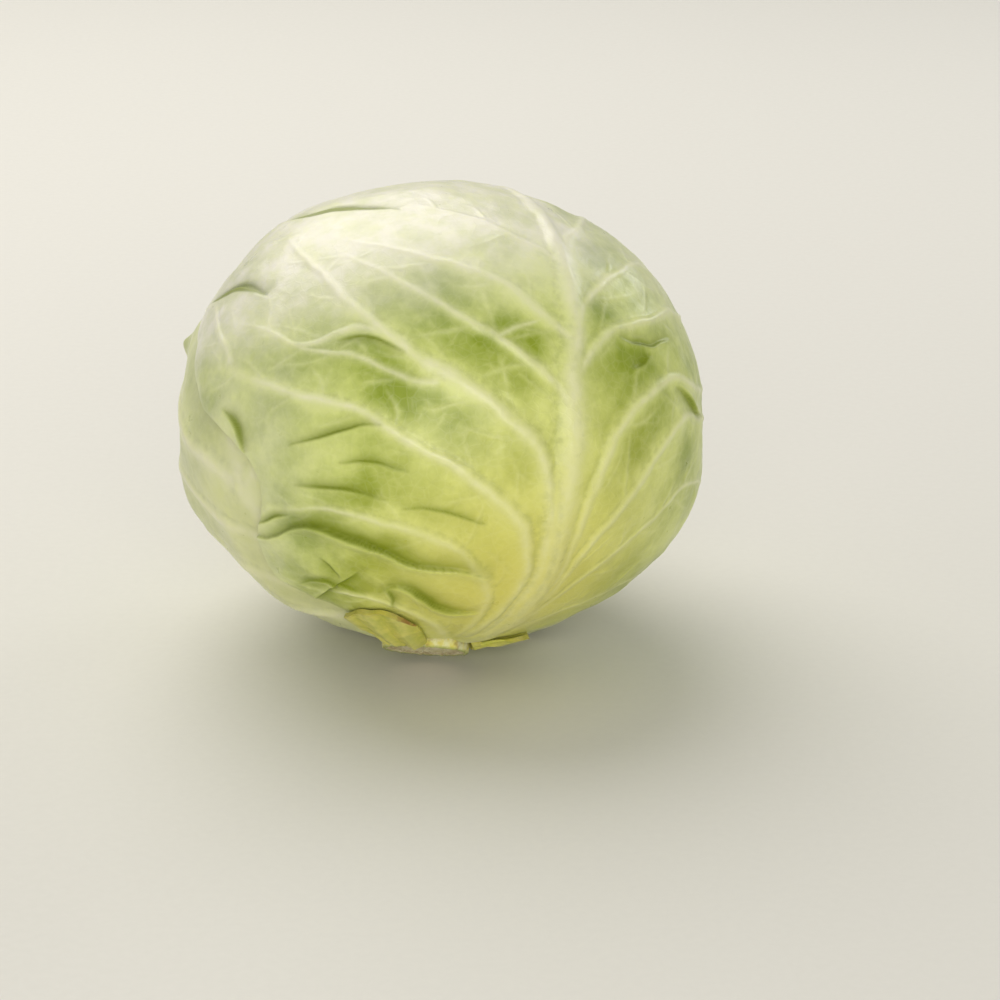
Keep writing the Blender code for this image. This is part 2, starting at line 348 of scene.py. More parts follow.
def resting_radius(directions, free, inset):
    """The free radius, flattened where the head rests on the table."""
    fall = np.maximum(-(directions @ lean_matrix()[2]), 1e-6)
    floor = (CENTRE_HEIGHT - inset) / fall
    mix = np.clip(0.5 + 0.5 * (floor - free) / FLAT_BLEND, 0.0, 1.0)
    return floor * (1 - mix) + free * mix - FLAT_BLEND * mix * (1 - mix)


def to_table(points):
    """Points in the head's own frame, as they lie on the table."""
    return points @ lean_matrix().T + np.array([0.0, 0.0, CENTRE_HEIGHT])


def axes_of(index):
    """The middle of a leaf's blade, the way to its right and the way to its tip."""
    azimuth = FIRST_AZIMUTH + GOLDEN_ANGLE * index
    middle = unit(azimuth, BLADE_MIDDLE)
    to_tip = unit(azimuth, BLADE_MIDDLE + 90)
    return middle, np.cross(to_tip, middle), to_tip


def directions_on(index, reach, turns):
    """Unit directions at these angles from a blade's middle, and turns from its base."""
    middle, right, to_tip = axes_of(index)
    out = np.radians(reach)[:, None]
    spin = np.radians(turns)[:, None]
    return np.cos(out) * middle + np.sin(out) * (np.sin(spin) * right - np.cos(spin) * to_tip)


def reach_and_turn(index, directions):
    middle, right, to_tip = axes_of(index)
    reach = np.degrees(np.arccos(np.clip(directions @ middle, -1.0, 1.0)))
    turns = np.degrees(np.arctan2(directions @ right, -(directions @ to_tip)))
    return reach, turns


def waves(turns, seed, slowest, fastest, fade):
    """A closed seeded wave round the margin, between about -1 and 1."""
    rng = np.random.default_rng(seed)
    total = np.zeros(np.shape(turns))
    scale = 0.0
    for count in range(slowest, fastest):
        share = (slowest / count) ** fade
        total += share * np.sin(np.radians(turns) * count + rng.uniform(0, math.tau))
        scale += share * share
    return total / math.sqrt(2.0 * scale)


def reaches_of(index):
    return LEAVES[index].reaches if index < len(LEAVES) else HEART_REACHES


def margin_reach(index, turns):
    """Reach of a blade at each turn from its base, on a smooth closed curve with a wavy edge."""
    reaches = np.array(reaches_of(index), float)
    place = np.mod(turns, 360.0) / 360.0 * len(reaches)
    knot = np.floor(place).astype(int)
    share = place - knot
    before, start, end, beyond = (reaches[(knot + k) % len(reaches)] for k in (-1, 0, 1, 2))
    eased = smooth_step(share)
    swing = share * (1 - share) / 2
    bend = (1 - share) * (end - before) - share * (beyond - start)
    away_from_stem = smooth_step((np.abs(np.mod(turns + 180, 360) - 180) - 12) / 30)
    broad = 1.1 * waves(turns, 100 + index, 5, 14, 0.9)
    fine = 0.5 * waves(turns, 200 + index, 18, 60, 0.6)
    return start + (end - start) * eased + swing * bend + (broad + fine) * away_from_stem


def covered(index, directions):
    """1 under a blade, easing to 0 past its margin."""
    reach, turns = reach_and_turn(index, directions)
    return 1.0 - smooth_step((reach - margin_reach(index, turns)) / TUCK_UNDER)


def layers_over(index, directions):
    """How many blades lie over each direction on a leaf, with eased edges."""
    return sum((covered(k, directions) for k in range(index)), np.zeros(len(directions)))


def reach_to_stem(turns, radius):
    """How far a blade can reach before it meets the stem, for each turn from its base."""
    to_pole = math.radians(TO_STEM)
    clear = math.asin((STEM_RADIUS + STEM_CLEARANCE) / radius)
    side = math.sin(to_pole) * np.cos(np.radians(turns))
    aim = np.arctan2(side, math.cos(to_pole))
    ratio = math.cos(clear) / np.hypot(math.cos(to_pole), side)
    meets = (ratio < 1.0) & (side > 0)
    return np.where(meets, np.degrees(aim - np.arccos(np.clip(ratio, -1.0, 1.0))), 180.0)


def smooth_path(route, step):
    """Points about a step apart on a smooth curve through a route."""
    points = np.array(route, float)
    ends = np.vstack([2 * points[0] - points[1], points, 2 * points[-1] - points[-2]])
    made = []
    for k in range(len(points) - 1):
        p0, p1, p2, p3 = ends[k : k + 4]
        count = max(int(math.ceil(np.linalg.norm(p2 - p1) / step)), 1)
        t = np.arange(count)[:, None] / count
        made.append(
            0.5 * (2 * p1 + (p2 - p0) * t + (2 * p0 - 5 * p1 + 4 * p2 - p3) * t**2)
            + 0.5 * (3 * p1 - p0 - 3 * p2 + p3) * t**3
        )
    return np.vstack([*made, points[-1:]])


class Canvas:
    """A leaf's relief and colour masks over its blade, all drawn from the same veins and tucks."""

    NAMES = ("height", "rib", "groove", "wide", "tuck", "lip", "green")

    def __init__(self):
        self.ticks = np.arange(-CANVAS_HALF, CANVAS_HALF + CANVAS_STEP / 2, CANVAS_STEP)
        side = len(self.ticks)
        self.maps = {name: np.zeros((side, side)) for name in self.NAMES}

    def window(self, path, border):
        """The part of the canvas round a path, and how far each of its points is from the path."""
        low = np.clip((path.min(0) - border + CANVAS_HALF) / CANVAS_STEP, 0, len(self.ticks) - 2)
        high = np.clip((path.max(0) + border + CANVAS_HALF) / CANVAS_STEP, 1, len(self.ticks) - 1)
        across = slice(int(low[0]), int(high[0]) + 1)
        along = slice(int(low[1]), int(high[1]) + 1)
        x, y = np.meshgrid(self.ticks[across], self.ticks[along])
        best = np.full(x.shape, 1e9)
        share = np.zeros(x.shape)
        side = np.zeros(x.shape)
        for k, (start, end) in enumerate(zip(path[:-1], path[1:], strict=True)):
            run = end - start
            size = max(float(run @ run), 1e-9)
            part = np.clip(((x - start[0]) * run[0] + (y - start[1]) * run[1]) / size, 0, 1)
            off_x = x - start[0] - part * run[0]
            off_y = y - start[1] - part * run[1]
            away = np.hypot(off_x, off_y)
            nearer = away < best
            best = np.where(nearer, away, best)
            share = np.where(nearer, (k + part) / (len(path) - 1), share)
            side = np.where(nearer, np.sign(run[0] * off_y - run[1] * off_x), side)
        return (along, across), best * MM_PER_DEGREE, share, side

    def raise_to(self, name, where, values):
        self.maps[name][where] = np.maximum(self.maps[name][where], values)

    def draw_vein(self, path, width, height, pale):
        """A raised vein, broad below and narrow on top, with a groove along its upper side and painted
        shade in it.
        """
        where, away, share, side = self.window(path, 3.6 * max(width) / MM_PER_DEGREE)
        thin = share**0.75
        fade = smooth_step((1 - share) / 0.2)
        half = width[0] + (width[1] - width[0]) * thin
        merging = 0.45 + 0.55 * smooth_step(share / 0.35)
        tall = (height[0] + (height[1] - height[0]) * thin) * fade * merging
        crest = np.exp(-((away / half) ** 2.2))
        skirt = np.exp(-((away / (2.3 * half)) ** 2))
        upper = side * np.sign(path[-1][0] - path[0][0]) > 0
        groove = np.exp(-(((away - 1.45 * half) / (0.45 * half + 0.25)) ** 2)) * upper
        self.raise_to("height", where, tall * (0.60 * crest + 0.40 * skirt))
        self.maps["height"][where] -= 0.12 * tall * groove
        core = np.exp(-((away / (0.80 * half)) ** 2))
        halo = np.exp(-((away / (1.5 * half)) ** 2))
        self.raise_to("rib", where, pale * (0.66 * core + 0.34 * halo) * fade)
        # The groove mask paints shade along the groove on the vein's upper side.
        self.raise_to("groove", where, pale * groove * fade)
        self.raise_to("wide", where, np.exp(-((away / (2.6 * half)) ** 2)) * min(1.0, width[0] / 2.6))

    def draw_tuck(self, tuck):
        """A fold: one side sinks under a lip that the other side raises over it."""
        path = smooth_path(tuck.route, 0.8)
        where, away, share, side = self.window(path, 12.0)
        taper = np.sin(np.pi * np.clip(share, 0.0, 1.0)) ** 0.6
        on_top = smooth_step(0.5 + side * tuck.top_side * away / 1.6)
        reach = 2.0 + 2.6 * tuck.depth
        lip = np.exp(-((away / (0.42 * reach)) ** 2)) * on_top
        sunk = np.exp(-((away / (0.85 * reach)) ** 1.4)) * (1 - on_top)
        shaded = np.exp(-((away / (0.62 * reach)) ** 1.5)) * (1 - on_top)
        crease = np.exp(-((away / 0.7) ** 2))
        gape = smooth_step(0.5 + (tuck.gap * taper**1.6 - away) / 1.3) * smooth_step(taper / 0.3)
        # How dark the painted shade in a fold's gap is.
        gape_shade = 0.72 if tuck.gap > 1.0 else 0.9
        self.maps["height"][where] += tuck.depth * taper * (0.62 * lip - 0.66 * sunk)
        # The tuck mask is painted shade: dark green on the sunk side, in the gap and along the crease of
        # the fold.
        self.raise_to("tuck", where, min(1.0, 0.45 + 0.3 * tuck.depth) * taper * shaded)
        self.raise_to("tuck", where, gape_shade * gape)
        self.raise_to("tuck", where, min(1.0, 0.5 + tuck.depth) * taper * crease)
        self.maps["height"][where] -= 0.30 * min(tuck.gap, 1.5) * gape
        # The lip mask is a painted highlight: a paler band along the raised lip of the fold.
        self.raise_to("lip", where, min(1.0, tuck.depth) * taper * lip)

    def sample(self, name, x, y):
        """A map's values at these places on the blade."""
        grid = self.maps[name]
        column = np.clip((x + CANVAS_HALF) / CANVAS_STEP, 0, len(self.ticks) - 1.001)
        row = np.clip((y + CANVAS_HALF) / CANVAS_STEP, 0, len(self.ticks) - 1.001)
        i, j = row.astype(int), column.astype(int)
        u, v = row - i, column - j
        low = grid[i, j] * (1 - v) + grid[i, j + 1] * v
        high = grid[i + 1, j] * (1 - v) + grid[i + 1, j + 1] * v
        return low * (1 - u) + high * u


def field(x, y, cell, seed):
    """Smooth seeded noise from -1 to 1 over the blade, with cells of this many degrees."""
    rng = np.random.default_rng(seed)
    size = int(2 * CANVAS_HALF / cell) + 6
    lattice = rng.uniform(-1.0, 1.0, (size, size))
    column = np.clip((x + CANVAS_HALF) / cell + 1, 1, size - 2.001)
    row = np.clip((y + CANVAS_HALF) / cell + 1, 1, size - 2.001)
    i, j = row.astype(int), column.astype(int)
    u, v = smooth_step(row - i), smooth_step(column - j)
    low = lattice[i, j] * (1 - v) + lattice[i, j + 1] * v
    high = lattice[i + 1, j] * (1 - v) + lattice[i + 1, j + 1] * v
    return low * (1 - u) + high * u


def grown_veins(index):
    """A midrib and side veins for any other leaf, grown from its seed."""
    rng = np.random.default_rng(300 + index)
    tip = reaches_of(index)[4]
    low, middle, high = rng.uniform(-3, 3, 3)
    midrib = Vein(
        ((0, -96), (low / 2, -66), (low, -30), (middle, 8), (high, 44), (0, tip * 0.96)),
        (8.0, 1.4),
        (3.2, 0.6),
    )
    veins = []
    steps = 6
    for side in (-1, 1):
        start = -80.0 + rng.uniform(0, 8)
        while start < tip * 0.72:
            share = (start + 84) / (tip + 84)
            heading = math.radians(90 - side * (72 - 34 * share + rng.uniform(-6, 6)))
            here = np.array([0.6 * side, start])
            route = [here]
            length = (96 - 66 * share) * rng.uniform(0.88, 1.08)
            for _ in range(steps):
                here = here + length / steps * np.array([math.cos(heading), math.sin(heading)])
                route.append(here)
                heading += side * math.radians(rng.uniform(2.0, 9.0))
            size = 1.0 - 0.55 * share
            veins.append(Vein(tuple(map(tuple, route)), (3.8 * size, 0.9), (1.9 * size, 0.3)))
            start += rng.uniform(13, 20)
    return midrib, veins


def branchlets(rng, path, spacing, length, wander):
    """Thin veins that leave a path to both sides by turns and bend the way it runs."""
    steps = np.linalg.norm(np.diff(path, axis=0), axis=1)
    travelled = np.concatenate([[0.0], np.cumsum(steps)])
    made = []
    place = spacing * rng.uniform(0.5, 1.2)
    side = rng.choice((-1, 1))
    while place < travelled[-1]:
        k = min(int(np.searchsorted(travelled, place)), len(path) - 1)
        run = path[k] - path[k - 1]
        heading = math.atan2(run[1], run[0]) + side * math.radians(rng.uniform(38, 62))
        here = path[k].copy()
        route = [here]
        count = 7
        size = length * rng.uniform(0.55, 1.1) * (1 - 0.45 * place / travelled[-1])
        for _ in range(count):
            here = here + size / count * np.array([math.cos(heading), math.sin(heading)])
            route.append(here)
            heading += math.radians(-side * rng.uniform(0, 7) + rng.normal(0, wander))
        made.append(np.array(route))
        place += spacing * rng.uniform(0.6, 1.4)
        side = -side
    return made


# Thin veins: spacing, length and wander in degrees, then half widths and heights in mm, and paleness.
TWIG_SPACING, TWIG_LENGTH, TWIG_WANDER = 7.5, 17.0, 5.0
TWIG_LOOKS = ((0.9, 0.45), (0.34, 0.10), 0.22)
HAIR_SPACING, HAIR_LENGTH, HAIR_WANDER = 4.0, 6.5, 7.0
HAIR_LOOKS = ((0.55, 0.35), (0.13, 0.05), 0.09)


def draw_blade(index):
    """A leaf's whole canvas: ribs, branching veins, tucks and the greener patches between."""
    rng = np.random.default_rng(400 + index)
    canvas = Canvas()
    midrib, veins = (FRONT_MIDRIB, FRONT_VEINS) if index == FRONT else grown_veins(index)
    for vein in (midrib, *veins):
        path = smooth_path(vein.route, 1.6)
        canvas.draw_vein(path, vein.width, vein.height, 1.0 if vein.width[0] > 2.9 else 0.8)
        for twig in branchlets(rng, path, TWIG_SPACING, TWIG_LENGTH, TWIG_WANDER):
            canvas.draw_vein(twig, *TWIG_LOOKS)
            for hair in branchlets(rng, twig, HAIR_SPACING, HAIR_LENGTH, HAIR_WANDER):
                canvas.draw_vein(hair, *HAIR_LOOKS)
    x, y = np.meshgrid(canvas.ticks, canvas.ticks)
    between = 1.0 - canvas.maps["wide"]
    greens = 0.38 + 0.32 * field(x, y, 15.0, 500 + index)
    if index == FRONT:
        for tuck in FRONT_TUCKS:
            canvas.draw_tuck(tuck)
        for (across, along), size in FRONT_GREENS:
            greens += 0.6 * np.exp(-((x - across) ** 2 + (y - along) ** 2) / size**2)
    canvas.maps["green"] = between * np.clip(greens, 0.0, 1.0)
    return canvas


CANVASES = {}


def canvas_of(index):
    """A leaf's canvas, drawn once."""
    if index not in CANVASES:
        CANVASES[index] = draw_blade(index)
    return CANVASES[index]


# Heights in mm, then places and spreads in degrees: the front leaf's crumpled part and the yellow base.
PLEAT_HEIGHT = 0.62
DEEPEST = -1.1
PUCKERED = (-56, -58)
PUCKERED_SPREAD = 24.0
YELLOW_MIDDLE = -58
YELLOW_SPREAD = 38.0


def pleats(index, x, y):
    """Low folds that fan out from the stem towards the sides of a blade, in mm."""
    spin = np.degrees(np.arctan2(x, y + TO_STEM))
    away = np.hypot(x, y + TO_STEM)
    drift = 2.2 * field(x, y, 26.0, 600 + index)
    folds = waves((spin + drift) * 2.0, 610 + index, 9, 22, 0.5)
    sides = smooth_step((np.abs(spin) - 24) / 30) * smooth_step((away - 30) / 45)
    return PLEAT_HEIGHT * folds * sides * (0.6 + 0.4 * field(x, y, 30.0, 620 + index))


def bloom_and_sheen_share(index, x, y):
    """Where wax bloom shows white, with painted sheen on the lit side: high on a blade, then left on the
    front one or thinly all over the rest.
    """
    high = smooth_step((y - 4 + 0.28 * np.clip(-x - 10, 0, 60)) / 34)
    high = high * (1 - 0.45 * smooth_step((x - 2) / 10))
    if index == FRONT:
        return np.maximum(high, 0.40 * smooth_step((-x - 46) / 30))
    return np.maximum(high, 0.34)


def relief(index, directions):
    """Height of a leaf's skin over the smooth head in mm, and its colour masks."""
    reach, turns = reach_and_turn(index, directions)
    x = reach * np.sin(np.radians(turns))
    y = -reach * np.cos(np.radians(turns))
    warp_x = 0.9 * field(x, y, 11.0, 700 + index) + 0.3 * field(x, y, 3.6, 701 + index)
    warp_y = 0.9 * field(x, y, 11.0, 702 + index) + 0.3 * field(x, y, 3.6, 703 + index)
    canvas = canvas_of(index)
    found = {name: canvas.sample(name, x + warp_x, y + warp_y) for name in Canvas.NAMES}
    quilt = 0.34 * field(x, y, 9.0, 710 + index) + 0.15 * field(x, y, 4.2, 711 + index)
    quilt += 0.05 * field(x, y, 1.6, 712 + index)
    beyond = np.maximum(margin_reach(index, turns) - reach, 0)
    lift = 0.30 + 0.50 * waves(turns, 800 + index, 4, 16, 0.6)
    yellowed = 0.3
    if index == FRONT:
        away = (x - PUCKERED[0]) ** 2 + (y - PUCKERED[1]) ** 2
        quilt *= 1 + 1.3 * np.exp(-away / PUCKERED_SPREAD**2)
        for turn, width, rise in FRONT_CURLS:
            lift = lift + rise * np.exp(-(((turns - turn) / width) ** 2))
        yellowed = 1.0
    folds = pleats(index, x, y)
    height = found["height"] + quilt * (1 - 0.6 * found["rib"]) + folds
    found["height"] = np.maximum(height, DEEPEST)
    # Greener where the quilt and pleats sink and paler where they rise: painted shade in the hollows and
    # painted light on the rises, over the blade's own greens.
    found["green"] = np.clip(found["green"] - 0.30 * quilt - 0.32 * folds, 0.0, 1.0)
    found["base"] = yellowed * np.exp(-(x**2 + (y - YELLOW_MIDDLE) ** 2) / YELLOW_SPREAD**2)
    # This mask holds the wax bloom together with painted sheen: whiter high up and on the left, the lit
    # side.
    found["bloom_and_sheen"] = bloom_and_sheen_share(index, x, y)
    found["edge"] = np.exp(-beyond / 4.0)
    found["lift"] = np.exp(-((beyond / 4.5) ** 2)) * lift
    return found


def skin_radius(index, directions):
    """Distance to a leaf's outer face, and its colour masks."""
    sizes = bpy.context.scene.cabbage_sizes
    over = layers_over(index, directions)
    open_air = 1.0 - smooth_step(over)
    found = relief(index, directions)
    raised = found["height"] * open_air * sizes.relief + found["lift"] * (0.25 + 0.75 * open_air)
    inset = sizes.layer_pitch * over
    press = 0.45 * sizes.layer_pitch * found["edge"]
    free = free_radius(directions) - inset - press + raised * MM
    found["shade"] = smooth_step(over * 1.4)
    return resting_radius(directions, free, inset), found


def blade_lattice(cells):
    """Shares of the reach and turns of a square lattice laid evenly over a round blade."""
    ticks = np.linspace(-1.0, 1.0, cells + 1)
    across, along = np.meshgrid(ticks, ticks)
    wide = np.abs(across) > np.abs(along)
    share = np.where(wide, np.abs(across), np.abs(along))
    ratio = np.divide(along, across, out=np.zeros_like(along), where=wide)
    other = np.divide(across, along, out=np.zeros_like(along), where=~wide & (along != 0))
    angle = np.where(
        wide,
        45 * ratio + np.where(across < 0, 180, 0),
        90 - 45 * other + np.where(along < 0, 180, 0),
    )
    turns = np.where(share == 0, 0.0, angle + 90)
    return share, turns


def lowest_near(grid, steps):
    """The lowest value within this many steps of each place, which keeps a plain skin under a fine one."""
    side = len(grid)
    padded = np.pad(grid, steps, mode="edge")
    down = np.min([padded[k : k + side] for k in range(2 * steps + 1)], axis=0)
    return np.min([down[:, k : k + side] for k in range(2 * steps + 1)], axis=0)


def rim_of(side):
    """Indices of the points round the edge of a square lattice, in order."""
    low = np.arange(side - 1)
    return np.concatenate(
        [
            low,
            (side - 1) + low * side,
            side * side - 1 - low,
            (side - 1 - low) * side,
        ]
    )


def lattice_quads(side, start=0):
    """The faces of a square lattice whose points start at this index."""
    row, column = np.meshgrid(np.arange(side - 1), np.arange(side - 1), indexing="ij")
    corner = (start + row * side + column).ravel()
    return np.stack([corner, corner + 1, corner + side + 1, corner + side], axis=1)


def stitches(outer, inner, ratio):
    """Triangles between a fine rim and a coarse one with a ratio-th as many points."""
    made = []
    for k, near in enumerate(inner):
        after = inner[(k + 1) % len(inner)]
        fine = [outer[(k * ratio + step) % len(outer)] for step in range(ratio + 1)]
        half = ratio // 2
        made += [(fine[s], fine[s + 1], near) for s in range(half)]
        made.append((near, fine[half], after))
        made += [(fine[s], fine[s + 1], after) for s in range(half, ratio)]
    return np.array(made)


SHARP_ANGLE = math.radians(62)


def mesh_of(name, points, quads, triangles, square=None):
    """A smooth mesh from arrays, turned to face outwards, with a flat layout to bake on."""
    halves = np.vstack([quads[:, [0, 1, 2]], quads[:, [0, 2, 3]], triangles])
    p, q, r = (points[halves[:, k]] for k in range(3))
    if np.einsum("ij,ij->i", p, np.cross(q, r)).sum() < 0:
        quads, triangles = quads[:, ::-1], triangles[:, ::-1]
    mesh = bpy.data.meshes.new(name)
    mesh.vertices.add(len(points))
    mesh.vertices.foreach_set("co", points.astype(np.float32).ravel())
    corners = np.concatenate([quads.ravel(), triangles.ravel()]).astype(np.int32)
    sizes = np.concatenate([np.full(len(quads), 4), np.full(len(triangles), 3)])
    mesh.loops.add(len(corners))
    mesh.loops.foreach_set("vertex_index", corners)
    mesh.polygons.add(len(sizes))
    starts = np.concatenate([[0], np.cumsum(sizes)[:-1]]).astype(np.int32)
    mesh.polygons.foreach_set("loop_start", starts)
    mesh.update(calc_edges=True)
    mesh.validate()
    mesh.shade_smooth()
    mesh.set_sharp_from_angle(angle=SHARP_ANGLE)
    if square is not None:
        layer = mesh.uv_layers.new(name="OFBake")
        layer.data.foreach_set("uv", square[corners].astype(np.float32).ravel())
    return mesh


def add_piece(name, mesh, material, node):
    """Puts a mesh in the scene as the piece that stands for a CAD node."""
    mesh.materials.append(material)
    piece = bpy.data.objects.new(name, mesh)
    bpy.context.scene.collection.objects.link(piece)
    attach(piece, BODY)
    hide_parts(node)
    return piece


def set_mask(mesh, name, values):
    """Stores a value at each point of a mesh, for its material to read."""
    mask = mesh.attributes.new(name, "FLOAT", "POINT")
    mask.data.foreach_set("value", values.astype(np.float32))


MASKS = ("rib", "groove", "tuck", "lip", "green", "base", "bloom_and_sheen", "edge", "shade")


# Where the outer and inner skins lie in the flat layout, and how much coarser the inner one is.
OUTER_SQUARE = ((0.62, 0.98), (0.01, 0.01))
INNER_SQUARE = ((0.34, 0.34), (0.65, 0.01))
COARSER = 4


def build_leaf(index):
    """One leaf as a closed blade: a fine outer skin, a plainer inner one and the rim between."""
    leaf = LEAVES[index]
    sizes = bpy.context.scene.cabbage_sizes
    cells = int(leaf.cells * sizes.detail) // COARSER * COARSER
    share, turns = blade_lattice(cells)
    base = unit(0, -90)[None, :]
    at_base = (free_radius(base) - sizes.layer_pitch * layers_over(index, base))[0]
    margin = np.minimum(margin_reach(index, turns), reach_to_stem(turns, at_base))
    ways = directions_on(index, (share * margin).ravel(), turns.ravel())
    radius, found = skin_radius(index, ways)
    outer = ways * radius[:, None]
    picked = np.arange(0, cells + 1, COARSER)
    under = (picked[:, None] * (cells + 1) + picked[None, :]).ravel()
    inland = smooth_step((1 - share.ravel()[under]) / 0.08)
    thick = sizes.leaf_thickness * (0.55 + 0.45 * inland)
    lowest = lowest_near(radius.reshape(cells + 1, cells + 1), COARSER).ravel()[under]
    inner_radius = radius[under] + (lowest - radius[under]) * inland - thick
    inner = ways[under] * inner_radius[:, None]
    points = to_table(np.vstack([outer, inner]))
    points[:, 2] = np.maximum(points[:, 2], 0.0)
    side, coarse_side = cells + 1, len(picked)
    quads = np.vstack([lattice_quads(side), lattice_quads(coarse_side, len(outer))[:, ::-1]])
    edge = stitches(rim_of(side), rim_of(coarse_side) + len(outer), COARSER)
    ticks = np.linspace(0, 1, side)
    flat = np.stack(np.meshgrid(ticks, ticks), axis=-1).reshape(-1, 2)
    (outer_size, outer_place), (inner_size, inner_place) = OUTER_SQUARE, INNER_SQUARE
    square = np.vstack([flat * outer_size + outer_place, flat[under] * inner_size + inner_place])
    name = leaf.node.removesuffix("_leaf") + "_blade"
    mesh = mesh_of(name, points, quads, edge[:, ::-1], square)
    for mask in MASKS:
        set_mask(mesh, mask, np.concatenate([found[mask], found[mask][under]]))
    return add_piece(name, mesh, leaf_material(index), leaf.node)


ATTRIBUTE = "ShaderNodeAttribute"
NOISE = "ShaderNodeTexNoise"
MATHS = "ShaderNodeMath"
RANGE = "ShaderNodeMapRange"
MIX = "ShaderNodeMix"
BUMP = "ShaderNodeBump"
SHADER = "ShaderNodeBsdfPrincipled"
EASED = {"interpolation_type": "SMOOTHSTEP"}
COLOURS = {"data_type": "RGBA", "clamp_factor": True}

# Living leaf: wet cells under wax. Light goes a little way in, and red and green go furthest.
LEAF_IOR = 1.45
LEAF_SCATTER = (1.0, 1.0, 0.3)
STEM_IOR = 1.42
NOISE_ROUGHNESS = 0.55
# How far the net of veinlets is shifted along each axis, in metres.
NET_SHIFT = (0.4, 0.4, 0.4)


def add_node(tree, kind, inputs=(), output=0, **settings):
    """Adds a node with its settings, plain values and links, and returns one of its outputs."""
    node = tree.nodes.new(kind)
    for name, value in settings.items():
        setattr(node, name, value)
    for socket, value in dict(inputs).items():
        if isinstance(value, bpy.types.NodeSocket):
            tree.links.new(value, node.inputs[socket])
        else:
            node.inputs[socket].default_value = value
    return node.outputs[output] if node.outputs else None


def new_surface(name):
    """An empty material tree: the material, its tree and the surface position in metres."""
    material = bpy.data.materials.new(name)
    material.use_nodes = True
    tree = material.node_tree
    tree.nodes.clear()
    return material, tree, add_node(tree, "ShaderNodeTexCoord", output="Object")


def per_metre(size_mm):
    """The texture scale that gives features of this many millimetres."""
    return 1.0 / (size_mm * MM)


def rgba(colour):
    return (*colour, 1.0)


def paler(colour, towards, share):
    return tuple(a + (b - a) * share for a, b in zip(colour, towards, strict=True))


